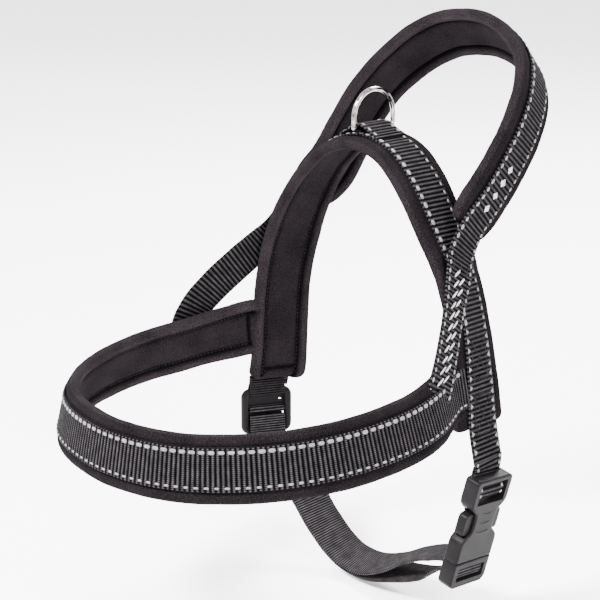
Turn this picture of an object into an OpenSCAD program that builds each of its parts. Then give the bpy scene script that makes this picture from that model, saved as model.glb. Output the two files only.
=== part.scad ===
// Padded dog harness: saddle band, chest band, carry handle, buckled belly strap.
// Millimetres, +Z up, the wearer's nose points to -Y and its left side is +X.
// Origin: inner face of the saddle pad at the top of the back, under the leash ring.

/* [Webbing] */
// Width of the main webbing
web_w = 25; // [20:1:30]
// Thickness of the main webbing
web_t = 1.6; // [1.2:0.1:2.2]
// Thickness of the belly strap
strap_t = 1.5; // [1.2:0.1:2]

/* [Padding] */
// Width across the saddle and handle pads, rolled borders included
pad_w = 43; // [36:1:50]
// Width across the chest pad, rolled borders included
chest_pad_w = 40; // [34:1:48]
// Thickness of a pad under the webbing
pad_t = 4; // [3:0.5:6]
// Depth of the rolled borders below the webbing
roll_d = 7.4; // [5:0.2:9]

/* [Fit] */
// Half width of the chest loop
chest_half = 119; // [100:1:140]
// Reach of the chest loop ahead of the saddle
chest_reach = 217; // [180:1:250]
// Drop of the chest loop below the origin
chest_drop = 144; // [120:1:170]
// Half width of the saddle band at its ends
saddle_half = 99; // [80:1:120]
// Height of the handle's top above the origin
handle_top = 62; // [40:1:85]
// Depth of the belly strap's lowest point
belly_drop = 286; // [250:1:320]

/* [Leash ring] */
// Radius of the ring's wire
ring_wire = 1.9; // [1.5:0.1:2.5]
// Half width of the ring between leg centres
ring_half = 17; // [14:0.5:18]
// Height of the ring's straight legs
ring_leg = 7.5; // [4:0.5:16]

/* [Buckle] */
// Width of the side release buckle
buckle_w = 35; // [30:0.5:38]
// Thickness of the buckle
buckle_t = 11; // [8:0.5:13]
// Length of the buckle's housing
housing_l = 58.5; // [50:0.5:64]
// Length of the plug's end below the housing
plug_l = 18.5; // [14:0.5:22]

/* [Slider] */
// Width of the strap slider
slider_w = 35.5; // [33:0.5:42]
// Height of the strap slider
slider_h = 33; // [28:0.5:38]

/* [Hidden] */
kx = chest_half / 119;
ky = chest_reach / 217;
sx = saddle_half / 99;
hz = (handle_top - pad_t) / 58;
bz = (belly_drop + pad_t) / 290;
hw = web_w / 2;
// Routes are measured from the pad's outer face at the crest of the back, and the
// origin is at the inner face below it, so everything is lifted by the pad's thickness.
lift = [0, 0, pad_t];
// The handle's hinge line passes through both crossings; the patch ends are round about it.
patch_r = 15.2;
// buckle and slider frames
B0 = [106.5, 2, -200];
BR = [-5, 13, 3.5];
S0 = [-100, -3, -208.5];
SR = [0, 0, -24];
ring_z = web_t + 0.15 + 0.3 + ring_wire;

// ---------------------------------------------------------------- routes
// Each row is a point on the face between pad and webbing, then the direction across it.
function cp(x, y, wx = 0, wy = 0, up = 0) =
  [x * kx, y * ky, -chest_drop + 0.07 * y + up, wx, wy, 1];

SADDLE = [
  [-96.8, -1.2, -188.5, .4, .92, 0], [-94.5, -0.5, -181, .26, .97, 0], [-92, 0, -160, .19, .98, 0],
  [-91 * sx, 0, -140, .17, .98, 0], [-88.5 * sx, 0, -114, .17, .98, 0],
  [-79.5 * sx, 0, -80, .2, .98, 0], [-65 * sx, 0, -49, .12, .99, 0], [-45, 0, -22.5, 0, 1, 0],
  [-24, 0, -6.5, 0, 1, 0], [0, 0, 0, 0, 1, 0], [24.5, 0, -4.5, 0, 1, 0],
  [45.5, 0, -21.5, 0, 1, 0], [63.5 * sx, 0, -47, -.06, 1, 0], [80.5 * sx, 0, -76, -.22, .97, 0],
  [91 * sx, 0, -108, -.2, .98, 0], [96.5 * sx, 0, -140, -.1, 1, 0],
  [100 * sx, 0.5, -172, 0, 1, 0], [103.4 * sx, 1.5, -191, 0, 1, -.02]];

CHEST = [
  cp(-93, -13.5, .16, 0, 3), cp(-96.5, -22, .16, 0, 3), cp(-101.5, -33, .2, 0, 2),
  cp(-107, -48, .26, 0, 1), cp(-111.5, -70, .28, 0), cp(-114, -92, .28, .03), cp(-113, -115, .27, .07),
  cp(-108, -139, .24, .11), cp(-99, -160, .2, .14), cp(-84, -182, .15, .17), cp(-66, -198, .1, .19),
  cp(-46, -208, .06, .2), cp(-24, -214, .03, .2), cp(0, -217, 0, .2), cp(24, -215.5, -.03, .2),
  cp(46, -210, -.06, .2), cp(66, -200, -.1, .19), cp(84, -185, -.15, .17), cp(100, -165, -.2, .14),
  cp(111, -143, -.24, .11), cp(117, -120, -.27, .07), cp(119, -95, -.28, .03), cp(117, -72, -.28, 0),
  cp(111, -48, -.26, 0, 1), cp(104, -33, -.2, 0, 2), cp(99.3, -22, -.16, 0, 3),
  cp(97.9, -13.5, -.16, 0, 3)];

HANDLE = [
  [-74.4, 9.3, -51.3, .1, .78, -.6], [-68, 26.5, -33, .05, .78, -.6], [-68, 41, -14, 0, .76, -.63],
  [-67.5, 57, 6, -.05, .74, -.66], [-63, 69, 21, -.1, .72, -.68], [-54, 79, 34, -.12, .7, -.7],
  [-42, 87, 45 * hz, -.12, .68, -.72], [-24, 94, 54.5 * hz, -.12, .68, -.72],
  [-2, 98, 58 * hz, -.12, .68, -.72], [23, 96, 56.5 * hz, -.12, .68, -.72],
  [48, 90, 48 * hz, -.14, .7, -.7], [64, 82, 37.5, -.15, .73, -.66],
  [74, 71, 24, -.15, .77, -.62], [79.5, 57, 6, -.15, .78, -.6], [80, 42, -14, -.15, .78, -.6],
  [79, 26, -33, -.15, .78, -.6], [77.2, 9.3, -51.3, -.1, .8, -.58]];

LEFT_BRACE = [
  [79.5, -1, -64, 0, .84, -.54], [84.8, -8.5, -75, 0, .84, -.5], [91, -18, -89, -.12, .81, -.5],
  [97, -27.5, -104, -.15, .8, -.5], [102.6, -37, -119, -.12, .82, -.54],
  [107.2, -46, -133.5, -.06, .83, -.57]];

RIGHT_BRACE = [
  [-108.5, -64, -134, .06, .83, -.57], [-105.5, -59.5, -125, .1, .82, -.54],
  [-99.5, -48.5, -111, .15, .8, -.5], [-93.3, -33.5, -97.5, .15, .8, -.5],
  [-87.6, -19.5, -86, .1, .82, -.5], [-81.3, -9.5, -75.5, 0, .84, -.5],
  [-76.5, -1, -64, 0, .84, -.54]];

KEEPER = [
  [-17, 0, -1.7, 0, 1, 0], [-12, 0, 0.9, 0, 1, 0], [-7.5, 0, 3.4, 0, 1, 0],
  [-4, 0, ring_z + 1.5, 0, 1, 0], [0, 0, ring_z + ring_wire + 0.35, 0, 1, 0],
  [4, 0, ring_z + 1.5, 0, 1, 0], [7.5, 0, 3.6, 0, 1, 0], [12, 0, 1.6, 0, 1, 0],
  [17, 0, -0.2, 0, 1, 0]];

// rotation by Euler angles, as rotate() does it
function rx(v, a) = [v[0], v[1] * cos(a) - v[2] * sin(a), v[1] * sin(a) + v[2] * cos(a)];
function ry(v, b) = [v[0] * cos(b) + v[2] * sin(b), v[1], -v[0] * sin(b) + v[2] * cos(b)];
function rz(v, c) = [v[0] * cos(c) - v[1] * sin(c), v[0] * sin(c) + v[1] * cos(c), v[2]];
function rot(v, R) = rz(ry(rx(v, R[0]), R[1]), R[2]);
function on_buckle(x, z) = concat(B0 + rot([x, 0, z], BR), rot([0, 1, 0], BR));
function on_slider(x, z) = concat(S0 + rot([x, 0, z], SR), rot([0, 1, 0], SR));

// webbing loop through the buckle's upper window: down behind the frame, over the bar, back up
BUCKLE_LOOP = [
  on_buckle(-3.2, 6.8), on_buckle(-3.5, 1), on_buckle(-3.3, -3.1), on_buckle(-1.2, -5.4),
  on_buckle(1.6, -7.4), on_buckle(2.0, -10), on_buckle(1.5, -13.4), on_buckle(-1.2, -15),
  on_buckle(-3.8, -13.6), on_buckle(-4.7, -10), on_buckle(-5.0, -4), on_buckle(-5.3, 1),
  on_buckle(-5.4, 8), on_buckle(-5.6, 22)];

bar_z = slider_h / 2 - 2;
SLIDER_LOOP = [
  on_slider(3.4, bar_z + 11), on_slider(3.3, bar_z + 5), on_slider(3.0, bar_z + 0.5), on_slider(1.9, bar_z - 2.3),
  on_slider(0, bar_z - 3.1), on_slider(-1.9, bar_z - 2.3), on_slider(-3.0, bar_z + 0.3),
  on_slider(-1.6, bar_z + 3.2), on_slider(0.6, bar_z + 6), on_slider(1.9, bar_z + 12)];

plug_bar = -housing_l - 9;
BELLY = [
  on_slider(2.9, 0), on_slider(2.1, 2.2), on_slider(0, 3.1), on_slider(-2.1, 2.2),
  on_slider(-3.1, -0.5), on_slider(-3.3, -7), on_slider(-3.1, -14), on_slider(-1.2, -19), on_slider(4, -23.5),
  [-75.5, -6, -237, .33, .9, .2], [-55.5, -6.2, -254.5, .25, .9, .28],
  [-36.5, -6.6, -272.5 * bz, .15, .91, .33], [-11, -7, -287.5 * bz, .05, .92, .36],
  [14, -7.3, -290 * bz, 0, .93, .34], [40, -7, -284.5 * bz, -.04, .95, .25],
  [65, -6.2, -277 * bz, -.06, .98, .1], on_buckle(-9, plug_bar - 3.6),
  on_buckle(-2.5, plug_bar - 2.75), on_buckle(0.2, plug_bar - 2.7),
  on_buckle(2.2, plug_bar - 1.8), on_buckle(2.95, plug_bar), on_buckle(2.2, plug_bar + 1.8),
  on_buckle(0.2, plug_bar + 2.7)];

RETURN = [
  on_slider(3.05, -2.2), on_slider(3.4, -7), on_slider(4.2, -13), on_slider(7, -18.8),
  [-73.9, -6.6, -235.8, .33, .9, .2], [-53.9, -6.8, -253, .25, .9, .28],
  [-35.3, -7.3, -270.8 * bz, .15, .91, .33], [-10.4, -7.7, -285.6 * bz, .05, .92, .36],
  [10, -8, -287.3 * bz, 0, .9, .4], [31, -7.6, -281.5 * bz, 0, .82, .56],
  [52, -6.5, -272 * bz, -.05, .82, .5], [72, -5.5, -264.5 * bz, -.06, .92, .25],
  on_buckle(-9, plug_bar + 3.4), on_buckle(-2.6, plug_bar + 2.8), on_buckle(-0.1, plug_bar + 2.7)];

// ---------------------------------------------------------------- band geometry
function pos(r) = [r[0], r[1], r[2]] + lift;
function acr(r) = [r[3], r[4], r[5]];
function unit(v) = v / norm(v);
function cum(R, i = 0, s = 0) =
  i >= len(R) - 1 ? [s] : concat([s], cum(R, i + 1, s + norm(pos(R[i + 1]) - pos(R[i]))));
function slope(R, L, i) =
  i == 0 ? (pos(R[1]) - pos(R[0])) / (L[1] - L[0])
  : i == len(R) - 1 ? (pos(R[i]) - pos(R[i - 1])) / (L[i] - L[i - 1])
  : let (p = L[i] - L[i - 1], q = L[i + 1] - L[i])
    ((pos(R[i]) - pos(R[i - 1])) / p * q + (pos(R[i + 1]) - pos(R[i])) / q * p) / (p + q);
function seg(L, s, i = 0) = (i >= len(L) - 2 || s < L[i + 1]) ? i : seg(L, s, i + 1);
// frame at length s: [point, along, across, out]
function frame(R, L, s) =
  let (i = seg(L, s), h = L[i + 1] - L[i], u = (s - L[i]) / h,
    a = slope(R, L, i), b = slope(R, L, i + 1), p = pos(R[i]), q = pos(R[i + 1]),
    c = (2 * u * u * u - 3 * u * u + 1) * p + (u * u * u - 2 * u * u + u) * h * a
      + (3 * u * u - 2 * u * u * u) * q + (u * u * u - u * u) * h * b,
    t = unit((6 * u * u - 6 * u) * p / h + (3 * u * u - 4 * u + 1) * a
      + (6 * u - 6 * u * u) * q / h + (3 * u * u - 2 * u) * b),
    v = acr(R[i]) * (1 - u) + acr(R[i + 1]) * u, w = unit(v - (v * t) * t))
  [c, t, w, cross(t, w)];
// n frames evenly along a route, and the run of them from a to b
function frames(R, n) =
  let (L = cum(R), T = L[len(L) - 1]) [for (k = [0:n - 1]) frame(R, L, T * k / (n - 1))];
function part(F, a, b) = [for (k = [a:b]) F[k]];

// Closed band through the frames. top and low are equal lists of [across, out].
// e0 and e1 shift each end along the band by a value for each place across.
module band(F, top, low, e0 = [], e1 = []) {
  m = len(top);
  n = len(F);
  pts = [for (k = [0:n - 1]) for (j = [0:2 * m - 1])
    let (c = j < m ? top[j] : low[j - m], f = F[k],
      e = k == 0 && len(e0) > 0 ? e0[j % m] : k == n - 1 && len(e1) > 0 ? e1[j % m] : 0)
    f[0] + c[0] * f[2] + c[1] * f[3] + e * f[1]];
  function T(k, i) = k * 2 * m + i;
  function U(k, i) = k * 2 * m + m + i;
  walls = [for (k = [0:n - 2]) for (i = [0:m - 2]) for (q = [
    [T(k, i), T(k, i + 1), T(k + 1, i + 1)], [T(k, i), T(k + 1, i + 1), T(k + 1, i)],
    [U(k, i), U(k + 1, i), U(k + 1, i + 1)], [U(k, i), U(k + 1, i + 1), U(k, i + 1)]]) q];
  sides = [for (k = [0:n - 2]) for (q = [
    [U(k, 0), T(k, 0), T(k + 1, 0)], [U(k, 0), T(k + 1, 0), U(k + 1, 0)],
    [U(k, m - 1), U(k + 1, m - 1), T(k + 1, m - 1)],
    [U(k, m - 1), T(k + 1, m - 1), T(k, m - 1)]]) q];
  ends = [for (i = [0:m - 2]) for (q = [
    [U(0, i), U(0, i + 1), T(0, i + 1)], [U(0, i), T(0, i + 1), T(0, i)],
    [U(n - 1, i), T(n - 1, i + 1), U(n - 1, i + 1)],
    [U(n - 1, i), T(n - 1, i), T(n - 1, i + 1)]]) q];
  polyhedron(points = pts, faces = concat(walls, sides, ends), convexity = 6);
}

// cross sections: webbing slightly crowned, pads with a rolled border each side
web_a = [-hw, -hw + 1.5, -hw / 2, 0, hw / 2, hw - 1.5, hw];
web_top = [for (i = [0:6]) [web_a[i], web_t + [-.35, -.05, .1, .15, .1, -.05, -.35][i]]];
web_low = [for (i = [0:6]) [web_a[i], [.3, .05, .05, .05, .05, .05, .3][i]]];
function strap(lo, hi) = [for (i = [0:4])
  [[-hw, -hw + 1, 0, hw - 1, hw][i], [lo, hi, hi, hi, lo][i]]];
function pad_a(h) = [0, hw + .2, hw + .9, hw + 2.4, h - 3.4, h - 1.1, h];
pad_up = [0, 0, -.9, -.1, -.2, -1.5, -3.6];
pad_dn = [-pad_t, -pad_t, -pad_t + .2, -roll_d + 1, -roll_d, -roll_d + 1, -4.6];
function mirror_pts(a, b) = concat(
  [for (i = [len(a) - 1:-1:1]) [-a[i], b[i]]], [for (i = [0:len(a) - 1]) [a[i], b[i]]]);
function pad_top(wide) = mirror_pts(pad_a(wide / 2), pad_up);
function pad_low(wide) = mirror_pts(pad_a(wide / 2), pad_dn);
function arc_end(r, s) = [for (a = web_a) s * sqrt(r * r - a * a)];

// ---------------------------------------------------------------- soft parts
module saddle_pad() {
  color([.17, .16, .17])
    band(part(frames(SADDLE, 67), 1, 63), pad_top(pad_w), pad_low(pad_w));
}
module saddle_webbing() { color([.1, .1, .11]) band(frames(SADDLE, 67), web_top, web_low); }
module chest_pad() {
  color([.17, .16, .17])
    band(part(frames(CHEST, 65), 1, 63), pad_top(chest_pad_w), pad_low(chest_pad_w));
}
module chest_webbing() { color([.1, .1, .11]) band(frames(CHEST, 65), web_top, web_low); }
module handle_pad() {
  color([.17, .16, .17])
    band(part(frames(HANDLE, 49), 2, 46), pad_top(pad_w), pad_low(pad_w));
}
module handle_webbing() {
  color([.1, .1, .11]) band(frames(HANDLE, 49), web_top, web_low,
    [for (a = web_a) sqrt(256 - a * a) - 16], [for (a = web_a) 16 - sqrt(256 - a * a)]);
}
module left_brace() {
  color([.1, .1, .11]) band(frames(LEFT_BRACE, 24), web_top, web_low, arc_end(patch_r, -1));
}
module right_brace() {
  color([.1, .1, .11]) band(frames(RIGHT_BRACE, 24), web_top, web_low, [], arc_end(patch_r, 1));
}
module ring_keeper() { color([.1, .1, .11]) band(frames(KEEPER, 17), web_top, web_low); }
module buckle_web_loop() {
  color([.1, .1, .11]) band(frames(BUCKLE_LOOP, 40), strap(.5, .8), strap(-.5, -.8));
}
module slider_web_loop() {
  color([.1, .1, .11]) band(frames(SLIDER_LOOP, 30), strap(.5, .8), strap(-.5, -.8));
}
module belly_strap() {
  color([.1, .1, .11])
    band(frames(BELLY, 84), strap(strap_t / 2 - .3, strap_t / 2), strap(-strap_t / 2 + .3, -strap_t / 2));
}
module belly_return() {
  color([.1, .1, .11])
    band(frames(RETURN, 70), strap(strap_t / 2 - .3, strap_t / 2), strap(-strap_t / 2 + .3, -strap_t / 2));
}

// ---------------------------------------------------------------- leash ring
module leash_ring() {
  color([.8, .8, .82]) translate([0, 1, ring_z] + lift) {
    rotate([90, 0, 0]) cylinder(r = ring_wire, h = 2 * ring_half, center = true, $fn = 32);
    for (s = [-1, 1]) translate([0, s * ring_half, 0]) {
      cylinder(r = ring_wire, h = ring_leg, $fn = 32);
      sphere(r = ring_wire, $fn = 32);
    }
    translate([0, 0, ring_leg]) rotate([90, 0, 90])
      rotate_extrude(angle = 180, $fn = 64) translate([ring_half, 0]) circle(r = ring_wire, $fn = 32);
  }
}

// ---------------------------------------------------------------- buckle
bw = buckle_w / 2;
// half outline of the housing's face, down one side: [across, along]
side = [[bw - 3, 0], [bw - .9, -.9], [bw, -3], [bw, -15], [bw - .8, -18.5], [bw - 3.4, -21.5],
  [bw - 6.4, -24], [bw - 7.5, -27], [bw - 7.5, -34], [bw - 6.4, -37.5], [bw - 3, -40.5],
  [bw - .8, -43], [bw, -46], [bw, -housing_l]];
outline = concat(side, [for (i = [len(side) - 1:-1:0]) [-side[i][0], side[i][1]]]);
module face_cut(y, z0, z1, t) {
  translate([-t / 2, -y, z0]) cube([t, 2 * y, z1 - z0]);
}
module buckle_housing() {
  color([.33, .33, .35]) translate(B0 + lift) rotate(BR) {
    difference() {
      rotate([90, 0, 90]) linear_extrude(height = buckle_t, center = true) polygon(outline);
      face_cut(hw + .5, -17.5, -3, buckle_t + 2);
      face_cut(bw - 2.6, -housing_l - 1, -22, buckle_t - 3.6);
      // the frame is thinner at the back of the window, where the webbing leaves it
      translate([-buckle_t / 2 - 1, -hw - .5, -4]) cube([buckle_t / 2 - 1, web_w + 1, 5]);
    }
    translate([-1.2, 0, -10]) scale([1, 1, 1.8]) rotate([90, 0, 0])
      cylinder(r = 1.7, h = web_w + 1.6, center = true, $fn = 32);
  }
}
module buckle_plug() {
  color([.33, .33, .35]) translate(B0 + lift) rotate(BR) {
    difference() {
      translate([-buckle_t / 2, -bw, -housing_l - plug_l]) cube([buckle_t, buckle_w, plug_l - .3]);
      face_cut(hw + .5, plug_bar - 4.6, plug_bar + 4.6, buckle_t + 2);
      for (s = [-1, 1]) translate([0, s * bw, -housing_l - plug_l]) rotate([45, 0, 0])
        cube([buckle_t + 2, 3.2, 3.2], center = true);
    }
    translate([0, 0, plug_bar]) rotate([90, 0, 0])
      cylinder(r = 1.6, h = web_w + 1.6, center = true, $fn = 32);
    translate([-2, -3.5, -housing_l - 1]) cube([4, 7, 27]);
  }
}
// arm and thumb pad of one latch, on the +Y side
arm = [[6, -housing_l + .2], [9, -housing_l + .2], [12, -42], [12.2, -40], [bw - 1.4, -39.4],
  [bw, -37], [bw, -27.5], [bw - 1.2, -25.2], [bw - 3.4, -24.3], [9, -24.3], [7.6, -27],
  [7.6, -40]];
module latch(s) {
  color([.33, .33, .35]) translate(B0 + lift) rotate(BR) rotate([90, 0, 90])
    linear_extrude(height = buckle_t - 4.4, center = true) polygon([for (p = arm) [s * p[0], p[1]]]);
}
module latch_front() { latch(-1); }
module latch_rear() { latch(1); }

// ---------------------------------------------------------------- slider
module strap_slider() {
  color([.33, .33, .35]) translate(S0 + lift) rotate(SR) {
    for (s = [-1, 1]) translate([-2.5, s * (slider_w / 2 - 2) - 2, -slider_h / 2])
      cube([5, 4, slider_h]);
    for (z = [bar_z, 0, -bar_z]) translate([0, 0, z]) rotate([90, 0, 0])
      cylinder(r = 1.7, h = slider_w - 4, center = true, $fn = 32);
  }
}

saddle_pad();
saddle_webbing();
chest_pad();
chest_webbing();
handle_pad();
handle_webbing();
left_brace();
right_brace();
ring_keeper();
leash_ring();
buckle_web_loop();
slider_web_loop();
buckle_housing();
buckle_plug();
latch_front();
latch_rear();
strap_slider();
belly_strap();
belly_return();
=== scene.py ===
"""Looks of a padded dog harness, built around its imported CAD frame.

Lengths in the classes are millimetres, and every mesh is written in metres in the
frame's own axes: +Z up, the wearer's nose to -Y, the wearer's left side to +X.
"""

import sys
import logging
import math
from dataclasses import dataclass, field
from enum import Enum
from typing import Callable, Sequence

import bmesh
import bpy
import numpy as np
from mathutils import Euler, Matrix, Vector


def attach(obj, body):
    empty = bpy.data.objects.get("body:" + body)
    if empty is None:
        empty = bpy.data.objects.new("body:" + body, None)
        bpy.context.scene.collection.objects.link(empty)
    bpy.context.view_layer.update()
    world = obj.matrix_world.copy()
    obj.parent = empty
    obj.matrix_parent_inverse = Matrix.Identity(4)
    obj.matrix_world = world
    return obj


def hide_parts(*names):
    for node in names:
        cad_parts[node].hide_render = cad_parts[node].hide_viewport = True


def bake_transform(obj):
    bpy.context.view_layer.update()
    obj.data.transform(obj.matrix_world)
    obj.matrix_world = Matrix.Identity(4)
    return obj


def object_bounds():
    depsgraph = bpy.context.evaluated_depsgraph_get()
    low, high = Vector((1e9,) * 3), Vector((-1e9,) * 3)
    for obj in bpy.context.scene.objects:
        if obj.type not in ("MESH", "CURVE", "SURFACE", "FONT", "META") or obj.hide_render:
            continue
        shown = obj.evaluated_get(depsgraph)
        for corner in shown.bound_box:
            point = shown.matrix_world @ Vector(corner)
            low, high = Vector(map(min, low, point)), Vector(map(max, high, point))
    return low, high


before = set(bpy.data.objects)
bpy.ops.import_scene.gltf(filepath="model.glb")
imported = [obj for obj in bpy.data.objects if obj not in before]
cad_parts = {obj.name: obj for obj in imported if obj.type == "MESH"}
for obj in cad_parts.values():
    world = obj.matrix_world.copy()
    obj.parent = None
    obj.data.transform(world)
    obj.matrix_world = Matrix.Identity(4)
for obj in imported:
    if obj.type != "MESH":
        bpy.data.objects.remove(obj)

Array = np.ndarray
Row = Sequence[float]
CAD_BOX = [list(corner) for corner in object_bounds()]
MM = 0.001
WEB = 25.0
HALF_WEB = WEB / 2
WEB_T = 1.6
PAD_T = 4.0
RIB_PITCH = 2.9
STRAP_PITCH = 1.7
DASH_PITCH = 5.8
DASH_ROW = 10.1
SEAM_PITCH = 2.3
SEWN = WEB_T + 0.1
PAD_GROOVE = 8.0
log = logging.getLogger("harness")


class Body(Enum):
    """The CAD bodies that the pieces ride on."""

    HARNESS = "harness"
    RING = "ring"
    HANDLE = "handle"
    PLUG = "plug"
    FRONT_LATCH = "front_latch"
    REAR_LATCH = "rear_latch"
    SLIDER = "slider"


class Slot(Enum):
    """The names of the material slots."""

    NEOPRENE = "neoprene"
    WEBBING = "webbing"
    STRAP = "strap"
    STEEL = "ring_steel"
    PLASTIC = "buckle_plastic"


class DashShape(Enum):
    """Outlines of a yarn dash: a dome of so many sides, or above four a soft bar."""

    TOOTH = 3
    DIAMOND = 4
    BAR = 8


# ------------------------------------------------------------------ routes


def rotate(point: Row, turn: Row) -> Array:
    """A point turned by Euler angles in degrees, X first, as the CAD does."""
    matrix = Euler([math.radians(a) for a in turn], "XYZ").to_matrix()
    return np.array(matrix @ Vector(point))


@dataclass(frozen=True)
class Place:
    """The local frame of a piece of hardware.

    Attributes:
        origin: where it is, in millimetres.
        turn: Euler angles in degrees.
    """

    origin: tuple[float, float, float]
    turn: tuple[float, float, float]

    def row(self, x: float, z: float) -> list[float]:
        """A route row at local (x, 0, z), with the local Y axis across it."""
        point = np.array(self.origin) + rotate((x, 0, z), self.turn)
        return [*point, *rotate((0, 1, 0), self.turn)]

    def matrix(self) -> Matrix:
        """The transform from local millimetres to metres in the frame."""
        turn = Euler([math.radians(a) for a in self.turn], "XYZ").to_matrix().to_4x4()
        return Matrix.Scale(MM, 4) @ Matrix.Translation(self.origin) @ turn


BUCKLE = Place((106.5, 2, -196), (-5, 13, 3.5))
SLIDER = Place((-100, -3, -204.5), (0, 0, -24))
SLIDER_BAR = 14.5
PLUG_BAR = -67.5


@dataclass(frozen=True)
class Frames:
    """Places along a route: centre, and unit vectors along, across and out.

    Attributes:
        s: distance along the route.
        centre: points on the face between pad and webbing.
        along: unit vectors along the route.
        across: unit vectors across the band.
        out: unit vectors away from the wearer.
    """

    s: Array
    centre: Array
    along: Array
    across: Array
    out: Array

    def at(self, a: Array, n: Array) -> Array:
        """Points in metres, a across and n out, one list of them for each frame."""
        a, n = np.asarray(a, float), np.asarray(n, float)
        return MM * (
            self.centre[:, None]
            + a[..., None] * self.across[:, None]
            + n[..., None] * self.out[:, None]
        )


class Route:
    """A smooth path through rows of a point and a direction across it."""

    def __init__(self, rows: Sequence[Row], lift: float = 0.0) -> None:
        """Fits the path.

        Args:
            rows: x, y, z and the three parts of the direction across.
            lift: height added to every point.
        """
        table = np.array(rows, float)
        self.points = table[:, :3] + [0, 0, lift]
        self.cross = table[:, 3:]
        steps = np.diff(self.points, axis=0)
        self.chords = np.linalg.norm(steps, axis=1)
        self.knots = np.concatenate([[0], np.cumsum(self.chords)])
        rate = steps / self.chords[:, None]
        before, after = self.chords[:-1, None], self.chords[1:, None]
        inner = (rate[:-1] * after + rate[1:] * before) / (before + after)
        self.slopes = np.vstack([rate[:1], inner, rate[-1:]])
        self.length = float(self.knots[-1])

    def frames(self, s: Array) -> Frames:
        """The frames at distances s.

        Args:
            s: distances along.

        Returns:
            One frame for each.
        """
        s = np.clip(np.asarray(s, float), 0, self.length)
        i = np.clip(np.searchsorted(self.knots, s, side="right") - 1, 0, len(self.chords) - 1)
        h = self.chords[i][:, None]
        u = ((s - self.knots[i]) / self.chords[i])[:, None]
        p, q, m, k = self.points[i], self.points[i + 1], self.slopes[i], self.slopes[i + 1]
        centre = (
            (2 * u**3 - 3 * u**2 + 1) * p
            + (u**3 - 2 * u**2 + u) * h * m
            + (3 * u**2 - 2 * u**3) * q
            + (u**3 - u**2) * h * k
        )
        along = (
            (6 * u**2 - 6 * u) * (p - q) / h
            + (3 * u**2 - 4 * u + 1) * m
            + (3 * u**2 - 2 * u) * k
        )
        along /= np.linalg.norm(along, axis=1)[:, None]
        across = self.cross[i] * (1 - u) + self.cross[i + 1] * u
        across -= (across * along).sum(1)[:, None] * along
        across /= np.linalg.norm(across, axis=1)[:, None]
        return Frames(s, centre, along, across, np.cross(along, across))

    def where(self, test: Callable[[Array], Array], start: float, stop: float) -> float:
        """The distance between start and stop at which test of the points is least."""
        s = np.linspace(start, stop, 800)
        return float(s[np.argmin(test(self.frames(s).centre))])


def chest_row(x: float, y: float, wx: float = 0, wy: float = 0, up: float = 0) -> list[float]:
    """A row of the chest loop, which drops evenly towards the front."""
    return [x, y, -144 + 0.07 * y + up, wx, wy, 1]


SADDLE_ROUTE = Route([
    [-96.8, -1.2, -188.5, .4, .92, 0], [-94.5, -0.5, -181, .26, .97, 0],
    [-92, 0, -160, .19, .98, 0], [-91, 0, -140, .17, .98, 0], [-88.5, 0, -114, .17, .98, 0],
    [-79.5, 0, -80, .2, .98, 0], [-65, 0, -49, .12, .99, 0], [-45, 0, -22.5, 0, 1, 0],
    [-24, 0, -6.5, 0, 1, 0], [0, 0, 0, 0, 1, 0], [24.5, 0, -4.5, 0, 1, 0],
    [45.5, 0, -21.5, 0, 1, 0], [63.5, 0, -47, -.06, 1, 0], [80.5, 0, -76, -.22, .97, 0],
    [91, 0, -108, -.2, .98, 0], [96.5, 0, -140, -.1, 1, 0],
    [100, 0.5, -172, 0, 1, 0], [103.4, 1.5, -191, 0, 1, -.02],
], PAD_T)

CHEST_ROUTE = Route([
    chest_row(-93, -13.5, .16, 0, 3), chest_row(-96.5, -22, .16, 0, 3),
    chest_row(-101.5, -33, .2, 0, 2), chest_row(-107, -48, .26, 0, 1),
    chest_row(-111.5, -70, .28, 0), chest_row(-114, -92, .28, .03),
    chest_row(-113, -115, .27, .07), chest_row(-108, -139, .24, .11),
    chest_row(-99, -160, .2, .14), chest_row(-84, -182, .15, .17),
    chest_row(-66, -198, .1, .19), chest_row(-46, -208, .06, .2),
    chest_row(-24, -214, .03, .2), chest_row(0, -217, 0, .2), chest_row(24, -215.5, -.03, .2),
    chest_row(46, -210, -.06, .2), chest_row(66, -200, -.1, .19),
    chest_row(84, -185, -.15, .17), chest_row(100, -165, -.2, .14),
    chest_row(111, -143, -.24, .11), chest_row(117, -120, -.27, .07),
    chest_row(119, -95, -.28, .03), chest_row(117, -72, -.28, 0),
    chest_row(111, -48, -.26, 0, 1), chest_row(104, -33, -.2, 0, 2),
    chest_row(99.3, -22, -.16, 0, 3), chest_row(97.9, -13.5, -.16, 0, 3),
], PAD_T)

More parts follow.
